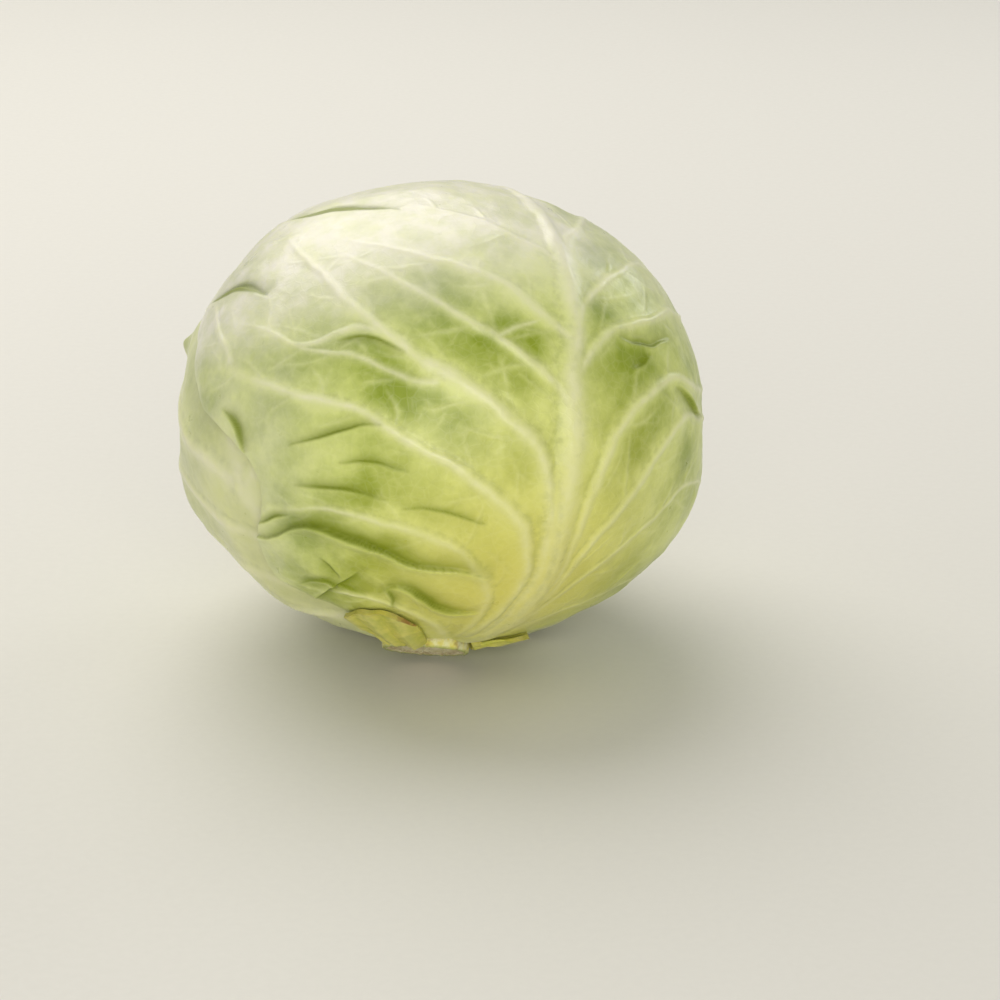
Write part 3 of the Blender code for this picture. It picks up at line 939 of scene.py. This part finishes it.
def leaf_material(index):
    """Fresh cabbage leaf: living tissue under a film of wax, so it is soft-edged but shines.

    The pale ribs, the greener blade between them and the yellower tissue near the stem come from
    the leaf's own masks, as do painted shade in folds, vein grooves, hollows and under other leaves,
    painted highlight on the lips of folds and painted sheen with the wax bloom. Fine veinlets and
    mottling come from noise and cells in real millimetres.
    """
    tones = bpy.context.scene.cabbage_colours
    inner = min(index * 0.11, 0.75)
    blade_green = rgba(paler(tones.blade_green, tones.heart, inner))
    blade_pale = rgba(paler(tones.blade_pale, tones.heart, inner * 0.6))
    blade_yellow = rgba(paler(tones.blade_yellow, tones.heart, inner * 0.5))
    rib, bloom_and_sheen, tuck = (rgba(tone) for tone in (tones.rib, tones.bloom_and_sheen, tones.tuck))
    material, tree, place = new_surface(f"fresh_waxy_leaf_{index}")
    on = {name: add_node(tree, ATTRIBUTE, output="Fac", attribute_name=name) for name in MASKS}

    # Each pattern's size in mm and how many finer ones it adds.
    patterns = {
        "mottle": (17.0, 3.0),
        "dusting": (9.0, 3.0),
        "film": (6.0, 4.0),
        "streaks": (5.0, 3.0),
        "speckle": (2.6, 3.0),
        "grain": (0.9, 3.0),
    }
    seen = {}
    for name, (size_mm, finer) in patterns.items():
        inputs = {
            "Vector": place,
            "Scale": per_metre(size_mm),
            "Detail": finer,
            "Roughness": NOISE_ROUGHNESS,
        }
        seen[name] = add_node(tree, NOISE, inputs)
    shifted = add_node(tree, "ShaderNodeVectorMath", {0: place, 1: NET_SHIFT}, operation="ADD")
    cells = {"Vector": shifted, "Scale": per_metre(3.4)}
    net = add_node(
        tree, "ShaderNodeTexVoronoi", cells, output="Distance", feature="DISTANCE_TO_EDGE"
    )

    # What each range reads, from where to where, and what it gives at both ends.
    ranges = {
        "mottled": (seen["mottle"], 0.3, 0.7, -0.28, 0.28),
        "speckled": (seen["speckle"], 0.3, 0.7, -0.07, 0.07),
        "veinlets": (net, 0.0, 0.11, 1.0, 0.0),
        # How strong the painted shade in the vein grooves is, broken up by speckle.
        "groove_shade": (seen["speckle"], 0.35, 0.65, 0.05, 0.25),
        "rib_pale": (on["base"], 0.0, 1.0, 0.64, 0.38),
        "rib_streaks": (seen["streaks"], 0.3, 0.7, 0.72, 1.1),
        "rib_yellow": (on["base"], -0.5, 0.5, 0.0, 1.0),
        # Patches of the wax bloom and its painted sheen.
        "wax_and_sheen_patches": (seen["dusting"], 0.3, 0.7, 0.58, 0.90),
        "roughness": (seen["film"], 0.25, 0.75, 0.27, 0.42),
        "shine": (on["tuck"], 0.0, 0.8, 0.5, 0.1),
        "coat": (on["tuck"], 0.0, 0.8, 0.14, 0.0),
    }
    eased = {}
    for name, (value, low, high, to_low, to_high) in ranges.items():
        inputs = {
            "Value": value,
            "From Min": low,
            "From Max": high,
            "To Min": to_low,
            "To Max": to_high,
        }
        eased[name] = add_node(tree, RANGE, inputs, **EASED)

    # The blade's own green patches with the painted shade of its hollows, then mottling and speckle.
    greener = add_node(tree, MATHS, {0: on["green"], 1: eased["mottled"]}, operation="ADD")
    greener = add_node(
        tree, MATHS, {0: greener, 1: eased["speckled"]}, operation="ADD", use_clamp=True
    )
    streaked = {0: eased["rib_pale"], 1: eased["rib_streaks"]}
    rib_share = add_node(tree, MATHS, streaked, operation="MULTIPLY")
    rib_tone = add_node(tree, MIX, {0: eased["rib_yellow"], 6: bloom_and_sheen, 7: rib}, 2, **COLOURS)

    # Each tone laid over the ones before it: where it goes, how strongly, and the tone.
    washes = (
        (on["base"], 0.85, blade_yellow),
        (eased["veinlets"], 0.06, rib),
        (on["edge"], 0.30, blade_pale),
        # Painted shadow line in the groove along each vein's upper side.
        (on["groove"], eased["groove_shade"], tuck),
        (on["rib"], rib_share, rib_tone),
        # Wax bloom with painted sheen: the pale wax white laid where the blade faces the light.
        (eased["wax_and_sheen_patches"], on["bloom_and_sheen"], bloom_and_sheen),
        # Painted highlight on the raised lips of the folds.
        (on["lip"], 0.40, blade_pale),
        # Painted shade inside the folds.
        (on["tuck"], 0.92, tuck),
        (on["shade"], 0.15, tuck),
    )
    colour = add_node(tree, MIX, {0: greener, 6: blade_pale, 7: blade_green}, 2, **COLOURS)
    for where, strength, tone in washes:
        share = add_node(tree, MATHS, {0: where, 1: strength}, operation="MULTIPLY")
        colour = add_node(tree, MIX, {0: share, 6: colour, 7: tone}, 2, **COLOURS)

    grainy = {"Height": seen["grain"], "Distance": 0.06 * MM, "Strength": 0.5}
    normal = add_node(tree, BUMP, grainy)
    netted = {
        "Height": eased["veinlets"],
        "Distance": 0.06 * MM,
        "Strength": 0.3,
        "Normal": normal,
    }
    skin = {
        "Base Color": colour,
        "Roughness": eased["roughness"],
        "IOR": LEAF_IOR,
        "Subsurface Weight": 0.22,
        "Subsurface Radius": LEAF_SCATTER,
        "Subsurface Scale": 2.6 * MM,
        "Specular IOR Level": eased["shine"],
        "Coat Weight": eased["coat"],
        "Coat Roughness": 0.30,
        "Normal": add_node(tree, BUMP, netted),
    }
    add_node(tree, "ShaderNodeOutputMaterial", {"Surface": add_node(tree, SHADER, skin)})
    return material


def cut_stem_material():
    """Cut cabbage stem: moist cream pith inside a ring of wood bundles, browned by the air.

    It gives the eye a matt, fibrous face with a darker ring inside a green rind.
    """
    tones = bpy.context.scene.cabbage_colours
    pith, cut, browned = (rgba(tone) for tone in (tones.pith, tones.cut, tones.browned))
    material, tree, place = new_surface("cut_cabbage_stem")
    across = add_node(tree, ATTRIBUTE, output="Fac", attribute_name="across")
    face = add_node(tree, ATTRIBUTE, output="Fac", attribute_name="face")
    patterns = {"drying": (5.0, 3.0), "rind": (3.0, 3.0), "stains": (2.2, 4.0), "fibres": (1.3, 4.0)}
    seen = {}
    for name, (size_mm, finer) in patterns.items():
        inputs = {
            "Vector": place,
            "Scale": per_metre(size_mm),
            "Detail": finer,
            "Roughness": NOISE_ROUGHNESS,
        }
        seen[name] = add_node(tree, NOISE, inputs)
    ranges = {
        "ring_starts": (across, 0.58, 0.70, 0.0, 1.0),
        "ring_ends": (across, 0.92, 0.78, 0.0, 1.0),
        "bundles": (seen["fibres"], 0.38, 0.62, 0.0, 1.0),
        "rind": (across, 0.84, 0.95, 0.0, 1.0),
        "drying": (seen["drying"], 0.3, 0.7, 0.0, 1.0),
        "rind_yellow": (seen["rind"], 0.3, 0.7, 0.0, 1.0),
        "stained": (seen["stains"], 0.5, 0.72, 0.0, 1.0),
        "roughness": (seen["fibres"], 0.3, 0.7, 0.5, 0.75),
    }
    eased = {}
    for name, (value, low, high, to_low, to_high) in ranges.items():
        inputs = {
            "Value": value,
            "From Min": low,
            "From Max": high,
            "To Min": to_low,
            "To Max": to_high,
        }
        eased[name] = add_node(tree, RANGE, inputs, **EASED)
    ends = {0: eased["ring_starts"], 1: eased["ring_ends"]}
    ring = add_node(tree, MATHS, ends, operation="MULTIPLY")
    bundles = add_node(tree, MATHS, {0: ring, 1: eased["bundles"]}, operation="MULTIPLY")
    outside = {0: eased["rind_yellow"], 6: rgba(tones.rib), 7: rgba(tones.blade_yellow)}
    outside = add_node(tree, MIX, outside, 2, **COLOURS)
    colour = add_node(tree, MIX, {0: eased["drying"], 6: pith, 7: cut}, 2, **COLOURS)
    for where, strength, tone in (
        (bundles, 0.55, browned),
        (eased["rind"], 0.7, rgba(tones.blade_green)),
    ):
        share = add_node(tree, MATHS, {0: where, 1: strength}, operation="MULTIPLY")
        colour = add_node(tree, MIX, {0: share, 6: colour, 7: tone}, 2, **COLOURS)
    colour = add_node(tree, MIX, {0: face, 6: outside, 7: colour}, 2, **COLOURS)
    share = add_node(tree, MATHS, {0: eased["stained"], 1: 0.5}, operation="MULTIPLY")
    colour = add_node(tree, MIX, {0: share, 6: colour, 7: browned}, 2, **COLOURS)
    fibrous = {"Height": seen["fibres"], "Distance": 0.3 * MM, "Strength": 0.7}
    flesh = {
        "Base Color": colour,
        "Roughness": eased["roughness"],
        "IOR": STEM_IOR,
        "Subsurface Weight": 0.15,
        "Subsurface Radius": (1.0, 0.9, 0.5),
        "Subsurface Scale": 3.0 * MM,
        "Normal": add_node(tree, BUMP, fibrous),
    }
    add_node(tree, "ShaderNodeOutputMaterial", {"Surface": add_node(tree, SHADER, flesh)})
    return material


def stub_material():
    """Thick cut leaf base: smooth waxy rind, moist inside, its knife-cut edge dried to brown.

    It gives the eye an olive, streaked, softly shining pad with a brown edge.
    """
    tones = bpy.context.scene.cabbage_colours
    material, tree, place = new_surface("cut_leaf_base")
    rib = add_node(tree, ATTRIBUTE, output="Fac", attribute_name="rib")
    cut = add_node(tree, ATTRIBUTE, output="Fac", attribute_name="cut")
    patterns = {"streaks": (4.0, 4.0), "drying": (1.6, 3.0), "grain": (0.9, 3.0)}
    seen = {}
    for name, (size_mm, finer) in patterns.items():
        inputs = {
            "Vector": place,
            "Scale": per_metre(size_mm),
            "Detail": finer,
            "Roughness": NOISE_ROUGHNESS,
        }
        seen[name] = add_node(tree, NOISE, inputs)
    ranges = {
        "greener": (seen["streaks"], 0.3, 0.7, 0.15, 0.55),
        "dried": (seen["drying"], 0.3, 0.6, 0.55, 1.0),
        "roughness": (seen["streaks"], 0.3, 0.7, 0.38, 0.55),
    }
    eased = {}
    for name, (value, low, high, to_low, to_high) in ranges.items():
        inputs = {
            "Value": value,
            "From Min": low,
            "From Max": high,
            "To Min": to_low,
            "To Max": to_high,
        }
        eased[name] = add_node(tree, RANGE, inputs, **EASED)
    streaked = {0: eased["greener"], 6: rgba(tones.blade_yellow), 7: rgba(tones.blade_green)}
    colour = add_node(tree, MIX, streaked, 2, **COLOURS)
    for where, strength, tone in ((rib, 0.25, tones.rib), (cut, eased["dried"], tones.browned)):
        share = add_node(tree, MATHS, {0: where, 1: strength}, operation="MULTIPLY")
        colour = add_node(tree, MIX, {0: share, 6: colour, 7: rgba(tone)}, 2, **COLOURS)
    grainy = {"Height": seen["grain"], "Distance": 0.08 * MM, "Strength": 0.5}
    rind = {
        "Base Color": colour,
        "Roughness": eased["roughness"],
        "IOR": LEAF_IOR,
        "Subsurface Weight": 0.2,
        "Subsurface Radius": LEAF_SCATTER,
        "Subsurface Scale": 4.0 * MM,
        "Coat Weight": 0.12,
        "Coat Roughness": 0.3,
        "Normal": add_node(tree, BUMP, grainy),
    }
    add_node(tree, "ShaderNodeOutputMaterial", {"Surface": add_node(tree, SHADER, rind)})
    return material


def table_material():
    """Matt white laminate: pale and even, with a grain too fine to catch the eye."""
    tones = bpy.context.scene.cabbage_colours
    worn = tuple(0.97 * share for share in tones.table)
    material, tree, place = new_surface("matt_white_laminate")
    fine = {
        "Vector": place,
        "Scale": per_metre(3.0),
        "Detail": 2.0,
        "Roughness": NOISE_ROUGHNESS,
    }
    grain = add_node(tree, NOISE, fine)
    matt = {"Value": grain, "From Min": 0.3, "From Max": 0.7, "To Min": 0.62, "To Max": 0.7}
    mottled = {0: grain, 6: rgba(tones.table), 7: rgba(worn)}
    laminate = {
        "Base Color": add_node(tree, MIX, mottled, 2, **COLOURS),
        "Roughness": add_node(tree, RANGE, matt, **EASED),
        "Normal": add_node(tree, BUMP, {"Height": grain, "Distance": 0.02 * MM, "Strength": 0.3}),
    }
    add_node(tree, "ShaderNodeOutputMaterial", {"Surface": add_node(tree, SHADER, laminate)})
    return material


def surface_radius(directions):
    """Distance to whichever wrapper leaf shows on top in each direction."""
    pitch = bpy.context.scene.cabbage_sizes.layer_pitch
    top = np.zeros(len(directions))
    for index in range(WRAPPERS):
        reach, turns = reach_and_turn(index, directions)
        radius, _ = skin_radius(index, directions)
        top = np.maximum(top, np.where(reach < margin_reach(index, turns) + 1.0, radius, 0.0))
    return np.maximum(top, free_radius(directions) - WRAPPERS * pitch)


# A stub's grid, then in metres how far it keeps off the leaf below and how far its end lifts.
STUB_GRID = (56, 64, 6)
STUB_GAP = 0.0003
STUB_LIFT = 0.0009


def build_stub(name, node, azimuth, half_width, reach, thickness, seed):
    """The base of a cut leaf: thick at the stem, hugging the head, with a ragged dried cut."""
    rows, columns, deep = STUB_GRID
    along, side = np.meshgrid(np.linspace(0, 1, rows), np.linspace(-1, 1, columns), indexing="ij")
    near = math.degrees(math.asin((STEM_RADIUS + STEM_CLEARANCE) / (HEAD_HEIGHT / 2)))
    far = reach * (1 - 0.20 * side**2 + 0.018 * waves(side * 60, seed, 3, 17, 0.7))
    polar = near + (far - near) * along
    turn = azimuth + half_width * (1 - 0.22 * along) * side
    polar_r, turn_r = np.radians(polar), np.radians(turn)
    ways = np.stack(
        [np.sin(polar_r) * np.sin(turn_r), -np.sin(polar_r) * np.cos(turn_r), -np.cos(polar_r)], axis=-1
    ).reshape(-1, 3)
    skin = surface_radius(ways) + STUB_GAP
    ribs = 0.16 * np.cos(side * math.pi * 3.2) + 0.05 * waves(side * 180 + 20 * along, seed + 1, 6, 20, 0.4)
    thick = thickness * (1 - 0.55 * along) * (1 - 0.70 * np.abs(side) ** 4) * (1 + ribs * (1 - side**2))
    lift = STUB_LIFT * along**3 * (0.4 + 0.8 * np.abs(side))
    layers = []
    for level in np.linspace(1, 0, deep):
        radius = skin + (lift + thick * level).ravel()
        layers.append(ways * radius[:, None])
    grid = np.arange(rows * columns).reshape(rows, columns)
    ring = np.concatenate([grid[0], grid[1:, -1], grid[-1, -2::-1], grid[-2:0:-1, 0]])
    count = len(ring)
    inner_start = rows * columns
    middle_start = 2 * rows * columns
    points = np.vstack([layers[0], layers[-1], *[layer[ring] for layer in layers[1:-1]]])
    step = np.arange(count)
    between = [middle_start + k * count + step for k in range(deep - 2)]
    levels = [ring, *between, inner_start + ring]
    after = (step + 1) % count
    wall = [
        np.stack([a[step], a[after], b[after], b[step]], axis=1)
        for a, b in zip(levels[:-1], levels[1:], strict=True)
    ]
    row, column = np.meshgrid(np.arange(rows - 1), np.arange(columns - 1), indexing="ij")
    corner = (row * columns + column).ravel()
    face = np.stack([corner, corner + 1, corner + columns + 1, corner + columns], axis=1)
    quads = np.vstack([face, face[:, ::-1] + inner_start, *[w[:, ::-1] for w in wall]])
    points = to_table(points)
    points[:, 2] = np.maximum(points[:, 2], 0.0)
    mesh = mesh_of(name, points, quads, np.zeros((0, 3), int))
    dried = 0.25 + 0.75 * smooth_step((side - 0.45) / 0.4)
    cut = (smooth_step((along - 0.95) / 0.05) * dried).ravel()
    rib = (0.5 + 0.5 * np.cos(side * math.pi * 3.2)).ravel() * 0.6
    set_mask(mesh, "cut", np.concatenate([cut, cut, *[cut[ring]] * (deep - 2)]))
    set_mask(mesh, "rib", np.concatenate([rib, rib, *[rib[ring]] * (deep - 2)]))
    return add_piece(name, mesh, stub_material(), node)


# How deep each of the saw's strokes is, in metres.
SAW_DEPTH = 0.00005


def build_stem():
    """The stem, sawn flat below, with its core running up into the heart."""
    segments = 120
    cut = -(HEAD_HEIGHT / 2 + STEM_STANDS_OUT)
    face = [(share, 0.0, 1.0) for share in np.linspace(0.02, 0.97, 34)]
    side = [(0.99, 0.0004, 0.6), (1.0, 0.0010, 0.0)]
    side += [(1.0, height, 0.0) for height in np.linspace(0.0020, 0.026, 22)]
    side += [(0.93, 0.034, 0.0), (0.80, 0.045, 0.0), (0.55, 0.057, 0.0), (0.25, 0.060, 0.0)]
    side += [(0.02, STEM_LENGTH, 0.0)]
    angle = np.arange(segments) / segments * 360
    outline = 1 + 0.028 * waves(angle, 31, 3, 12, 0.8) + 0.008 * waves(angle, 32, 14, 40, 0.4) - 0.035
    saw = np.random.default_rng(33)
    strokes = saw.uniform(-1, 1, 9)
    rings, across, on_face = [], [], []
    for share, height, shown in face + side:
        radius = STEM_RADIUS * share * outline
        x, y = radius * np.sin(np.radians(angle)), -radius * np.cos(np.radians(angle))
        marks = sum(
            SAW_DEPTH * np.sin(x * 900 * (k + 2) + 9 * s + 3 * y / STEM_RADIUS)
            for k, s in enumerate(strokes)
        )
        hollow = 0.0007 * (1 - share**2) + 0.0004 * np.exp(-((share - 0.72) / 0.09) ** 2)
        rings.append(np.stack([x, y, cut + height + shown * (marks + hollow)], axis=1))
        across.append(np.full(segments, share))
        on_face.append(np.full(segments, shown))
    points = np.vstack([*rings, rings[0].mean(0)[None, :], rings[-1].mean(0)[None, :]])
    quads, triangles = [], []
    step = np.arange(segments)
    after = (step + 1) % segments
    for k in range(len(rings) - 1):
        low, high = k * segments, (k + 1) * segments
        quads.append(np.stack([low + step, low + after, high + after, high + step], axis=1))
    first, last = len(rings) * segments, len(rings) * segments + 1
    triangles.append(np.stack([np.full(segments, first), after, step], axis=1))
    end = (len(rings) - 1) * segments
    triangles.append(np.stack([np.full(segments, last), end + step, end + after], axis=1))
    mesh = mesh_of("sawn_stem", to_table(points), np.vstack(quads), np.vstack(triangles))
    set_mask(mesh, "across", np.concatenate([*across, [0.0, 0.0]]))
    set_mask(mesh, "face", np.concatenate([*on_face, [1.0, 0.0]]))
    return add_piece("sawn_stem", mesh, cut_stem_material(), "stem_core")


# The heart's own margins: how many show as steps and how high each is in metres.
HEART_STEPS = 4
HEART_STEP = 0.0009
HEART_SHARP_ANGLE = math.radians(50)


def build_heart():
    """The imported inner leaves, their margins showing as low steps, with a hollow for the core."""
    index = len(LEAVES)
    sizes = bpy.context.scene.cabbage_sizes
    bpy.ops.mesh.primitive_ico_sphere_add(subdivisions=7, radius=1.0)
    ball = bpy.context.object
    ways = np.empty(len(ball.data.vertices) * 3, np.float32)
    ball.data.vertices.foreach_get("co", ways)
    ways = ways.reshape(-1, 3).astype(float)
    ways /= np.linalg.norm(ways, axis=1)[:, None]
    inset = sizes.layer_pitch * layers_over(index, ways)
    steps = sum(covered(index + k, ways) for k in range(1, HEART_STEPS + 1))
    found = relief(index, ways)
    free = free_radius(ways) - inset - HEART_STEP * steps + 0.35 * MM * np.clip(found["height"], 0, 2)
    points = to_table(ways * resting_radius(ways, free, inset)[:, None])
    ball.data.vertices.foreach_set("co", points.astype(np.float32).ravel())
    ball.data.update()
    wide = STEM_RADIUS + CORE_HOLLOW_CLEARANCE
    bpy.ops.mesh.primitive_cylinder_add(vertices=64, radius=wide, depth=CORE_HOLLOW_DEPTH)
    hollow = bpy.context.object
    hollow.rotation_euler = lean()
    middle = -(HEAD_HEIGHT / 2 + STEM_STANDS_OUT) + CORE_HOLLOW_TOP - CORE_HOLLOW_DEPTH / 2
    hollow.location = Vector(to_table(np.array([[0.0, 0.0, middle]]))[0])
    cut = ball.modifiers.new("core_hollow", "BOOLEAN")
    cut.operation = "DIFFERENCE"
    cut.object = hollow
    bpy.context.view_layer.update()
    graph = bpy.context.evaluated_depsgraph_get()
    mesh = bpy.data.meshes.new_from_object(ball.evaluated_get(graph))
    mesh.name = "packed_heart"
    for spent in (ball, hollow):
        bpy.data.objects.remove(spent)
    mesh.materials.clear()
    mesh.shade_smooth()
    mesh.set_sharp_from_angle(angle=HEART_SHARP_ANGLE)
    places = np.empty(len(mesh.vertices) * 3, np.float32)
    mesh.vertices.foreach_get("co", places)
    local = (places.reshape(-1, 3) - [0, 0, CENTRE_HEIGHT]) @ lean_matrix()
    local /= np.linalg.norm(local, axis=1)[:, None]
    masks = relief(index, local)
    masks["shade"] = np.zeros(len(local))
    for name in MASKS:
        set_mask(mesh, name, masks[name])
    return add_piece("packed_heart", mesh, leaf_material(index), "tight_heart")


# Round lights: place and width in metres, power in watts and colour. Then the pale room's own light.
LIGHTS = (
    ("key", (-0.42, 0.74, 1.22), 1.6, 16.6, "#fffaf0"),
    ("fill", (0.10, -1.5, 0.40), 1.2, 13.0, "#fffbf0"),
    ("rim", (0.95, 0.9, 0.6), 0.5, 2.0, "#ffffff"),
)
ROOM_COLOUR = "#f8f7f1"
ROOM_STRENGTH = 0.43

# How far right of the head's centre and below it the camera aims, in shares of the view's width.
AIM_RIGHT = 0.059
AIM_DOWN = 0.085


def soft_light(name, place, aim, size, power, colour):
    data = bpy.data.lights.new(name, "AREA")
    data.shape = "DISK"
    data.size = size
    data.energy = power
    data.color = linear(colour)
    light = bpy.data.objects.new(name, data)
    light.location = place
    light.rotation_euler = (Vector(aim) - Vector(place)).to_track_quat("-Z", "Y").to_euler()
    bpy.context.scene.collection.objects.link(light)


class CabbageSizes(bpy.types.PropertyGroup):
    """Sizes a user would change."""

    layer_pitch: FloatProperty(
        name="Layer pitch", description="From one leaf's outer face to the next one's",
        default=0.0020, min=0.0012, max=0.0031, unit="LENGTH", precision=4,
    )
    leaf_thickness: FloatProperty(
        name="Leaf thickness", description="Of the blade between its ribs",
        default=0.0008, min=0.0003, max=0.0015, unit="LENGTH", precision=4,
    )
    relief: FloatProperty(
        name="Relief", description="How strongly ribs, tucks and puckers stand out",
        default=1.0, min=0.0, max=2.0,
    )
    detail: FloatProperty(
        name="Detail", description="Share of the full grid that each leaf gets",
        default=1.0, min=0.2, max=1.5,
    )
    camera_elevation: FloatProperty(
        name="Camera elevation", description="How far above the table the camera looks from",
        default=math.radians(21.0), subtype="ANGLE", unit="ROTATION",
    )
    camera_distance: FloatProperty(
        name="Camera distance", description="From the camera to the head's centre",
        default=1.15, min=0.4, max=5.0, unit="LENGTH",
    )
    view_width: FloatProperty(
        name="View width", description="What the camera takes in across the head",
        default=0.337, min=0.1, max=2.0, unit="LENGTH",
    )


def colour_property(name, description, code):
    return FloatVectorProperty(
        name=name, description=description, subtype="COLOR", size=3, min=0.0, max=1.0, default=linear(code)
    )


class CabbageColours(bpy.types.PropertyGroup):
    """Colours a user would change."""

    blade_pale: colour_property("Pale blade", "The blade where it is thin and pale", "#d2dc84")
    blade_green: colour_property("Green blade", "The blade between the ribs", "#869a1c")
    blade_yellow: colour_property("Blade near the stem", "The yellower base of the blade", "#d8cf62")
    rib: colour_property("Rib", "Midribs and side veins", "#eae9bb")
    # The white of the wax bloom, also laid on as painted sheen high and to the left on the leaves.
    bloom_and_sheen: colour_property("Wax bloom", "The pale film of wax on what faced the sky", "#efecdf")
    tuck: colour_property("Tuck", "The shaded green inside folds", "#6b7a00")
    heart: colour_property("Heart", "The pale tissue that no light reaches", "#e3e4b4")
    pith: colour_property("Pith", "The moist middle of the stem", "#e9e3c4")
    cut: colour_property("Cut tissue", "Sawn stem tissue as it dries", "#d5cc9d")
    browned: colour_property("Browned cut", "Cut edges dried by the air", "#8f6b3c")
    table: colour_property("Table", "The plain pale table", "#dddcd8")


class AddWrapperLeaves(bpy.types.Operator):
    """Grow the outer leaves that make most of what shows"""

    bl_idname = "cabbage.add_wrapper_leaves"
    bl_label = "Add Wrapper Leaves"

    def execute(self, context):
        for index, leaf in enumerate(LEAVES):
            if leaf.slot == "wrapper_leaf":
                build_leaf(index)
        return {"FINISHED"}


class AddUnderLeaves(bpy.types.Operator):
    """Grow the paler leaves under the wrappers"""

    bl_idname = "cabbage.add_under_leaves"
    bl_label = "Add Under Leaves"

    def execute(self, context):
        for index, leaf in enumerate(LEAVES):
            if leaf.slot == "under_leaf":
                build_leaf(index)
        return {"FINISHED"}


class AddHeart(bpy.types.Operator):
    """Pack the tight inner leaves into one heart"""

    bl_idname = "cabbage.add_heart"
    bl_label = "Add Heart"

    def execute(self, context):
        build_heart()
        return {"FINISHED"}


class AddStem(bpy.types.Operator):
    """Add the sawn stem and its core"""

    bl_idname = "cabbage.add_stem"
    bl_label = "Add Stem"

    def execute(self, context):
        build_stem()
        return {"FINISHED"}


class AddLeafStubs(bpy.types.Operator):
    """Add the thick bases that trimmed leaves left beside the stem"""

    bl_idname = "cabbage.add_leaf_stubs"
    bl_label = "Add Leaf Stubs"

    def execute(self, context):
        build_stub("front_stub", "front_leaf_stub", -31, 31, 29.5, 0.0042, 41)
        build_stub("back_stub", "back_leaf_stub", 92, 27, 25, 0.0036, 51)
        return {"FINISHED"}


class AddStage(bpy.types.Operator):
    """Add the table, the soft lights and the camera"""

    bl_idname = "cabbage.add_stage"
    bl_label = "Add Stage"

    def execute(self, context):
        scene = context.scene
        sizes = scene.cabbage_sizes
        bpy.ops.mesh.primitive_plane_add(size=12.0)
        table = context.object
        table.name = "table_top"
        table.data.materials.append(table_material())
        scene.world = bpy.data.worlds.new("pale_room")
        scene.world.use_nodes = True
        sky = scene.world.node_tree.nodes["Background"]
        sky.inputs["Color"].default_value = rgba(linear(ROOM_COLOUR))
        sky.inputs["Strength"].default_value = ROOM_STRENGTH
        centre = (0.0, 0.0, CENTRE_HEIGHT)
        for name, place, size, power, colour in LIGHTS:
            soft_light(name, place, centre, size, power, colour)
        scene.view_settings.view_transform = "Standard"
        rise = sizes.camera_elevation
        back = Vector((0.0, -math.cos(rise), math.sin(rise)))
        up = Vector((0.0, math.sin(rise), math.cos(rise)))
        right = Vector((AIM_RIGHT * sizes.view_width, 0, 0))
        aim = Vector(centre) + right - up * (AIM_DOWN * sizes.view_width)
        data = bpy.data.cameras.new("camera")
        data.sensor_width = 36.0
        data.lens = data.sensor_width * sizes.camera_distance / sizes.view_width
        data.clip_start, data.clip_end = 0.05, 30.0
        camera = bpy.data.objects.new("camera", data)
        camera.location = aim + back * sizes.camera_distance
        camera.rotation_euler = (-back).to_track_quat("-Z", "Y").to_euler()
        scene.collection.objects.link(camera)
        scene.camera = camera
        return {"FINISHED"}


STEPS = (AddWrapperLeaves, AddUnderLeaves, AddHeart, AddStem, AddLeafStubs, AddStage)


class CabbagePanel(bpy.types.Panel):
    """Lists the steps in the order they grow"""

    bl_idname = "VIEW3D_PT_cabbage"
    bl_label = "Cabbage"
    bl_space_type = "VIEW_3D"
    bl_region_type = "UI"
    bl_category = "Cabbage"

    def draw(self, context):
        for step in STEPS:
            self.layout.operator(step.bl_idname)
        for group in (context.scene.cabbage_sizes, context.scene.cabbage_colours):
            box = self.layout.box()
            for name in group.bl_rna.properties.keys():
                if name not in ("rna_type", "name"):
                    box.prop(group, name)


CLASSES = (CabbageSizes, CabbageColours, *STEPS, CabbagePanel)


def register():
    for kind in CLASSES:
        bpy.utils.register_class(kind)
    bpy.types.Scene.cabbage_sizes = PointerProperty(type=CabbageSizes)
    bpy.types.Scene.cabbage_colours = PointerProperty(type=CabbageColours)


def unregister():
    del bpy.types.Scene.cabbage_colours
    del bpy.types.Scene.cabbage_sizes
    for kind in reversed(CLASSES):
        bpy.utils.unregister_class(kind)


def main():
    register()
    for step in STEPS:
        group, name = step.bl_idname.split(".")
        getattr(getattr(bpy.ops, group), name)()


if __name__ == "__main__":
    main()
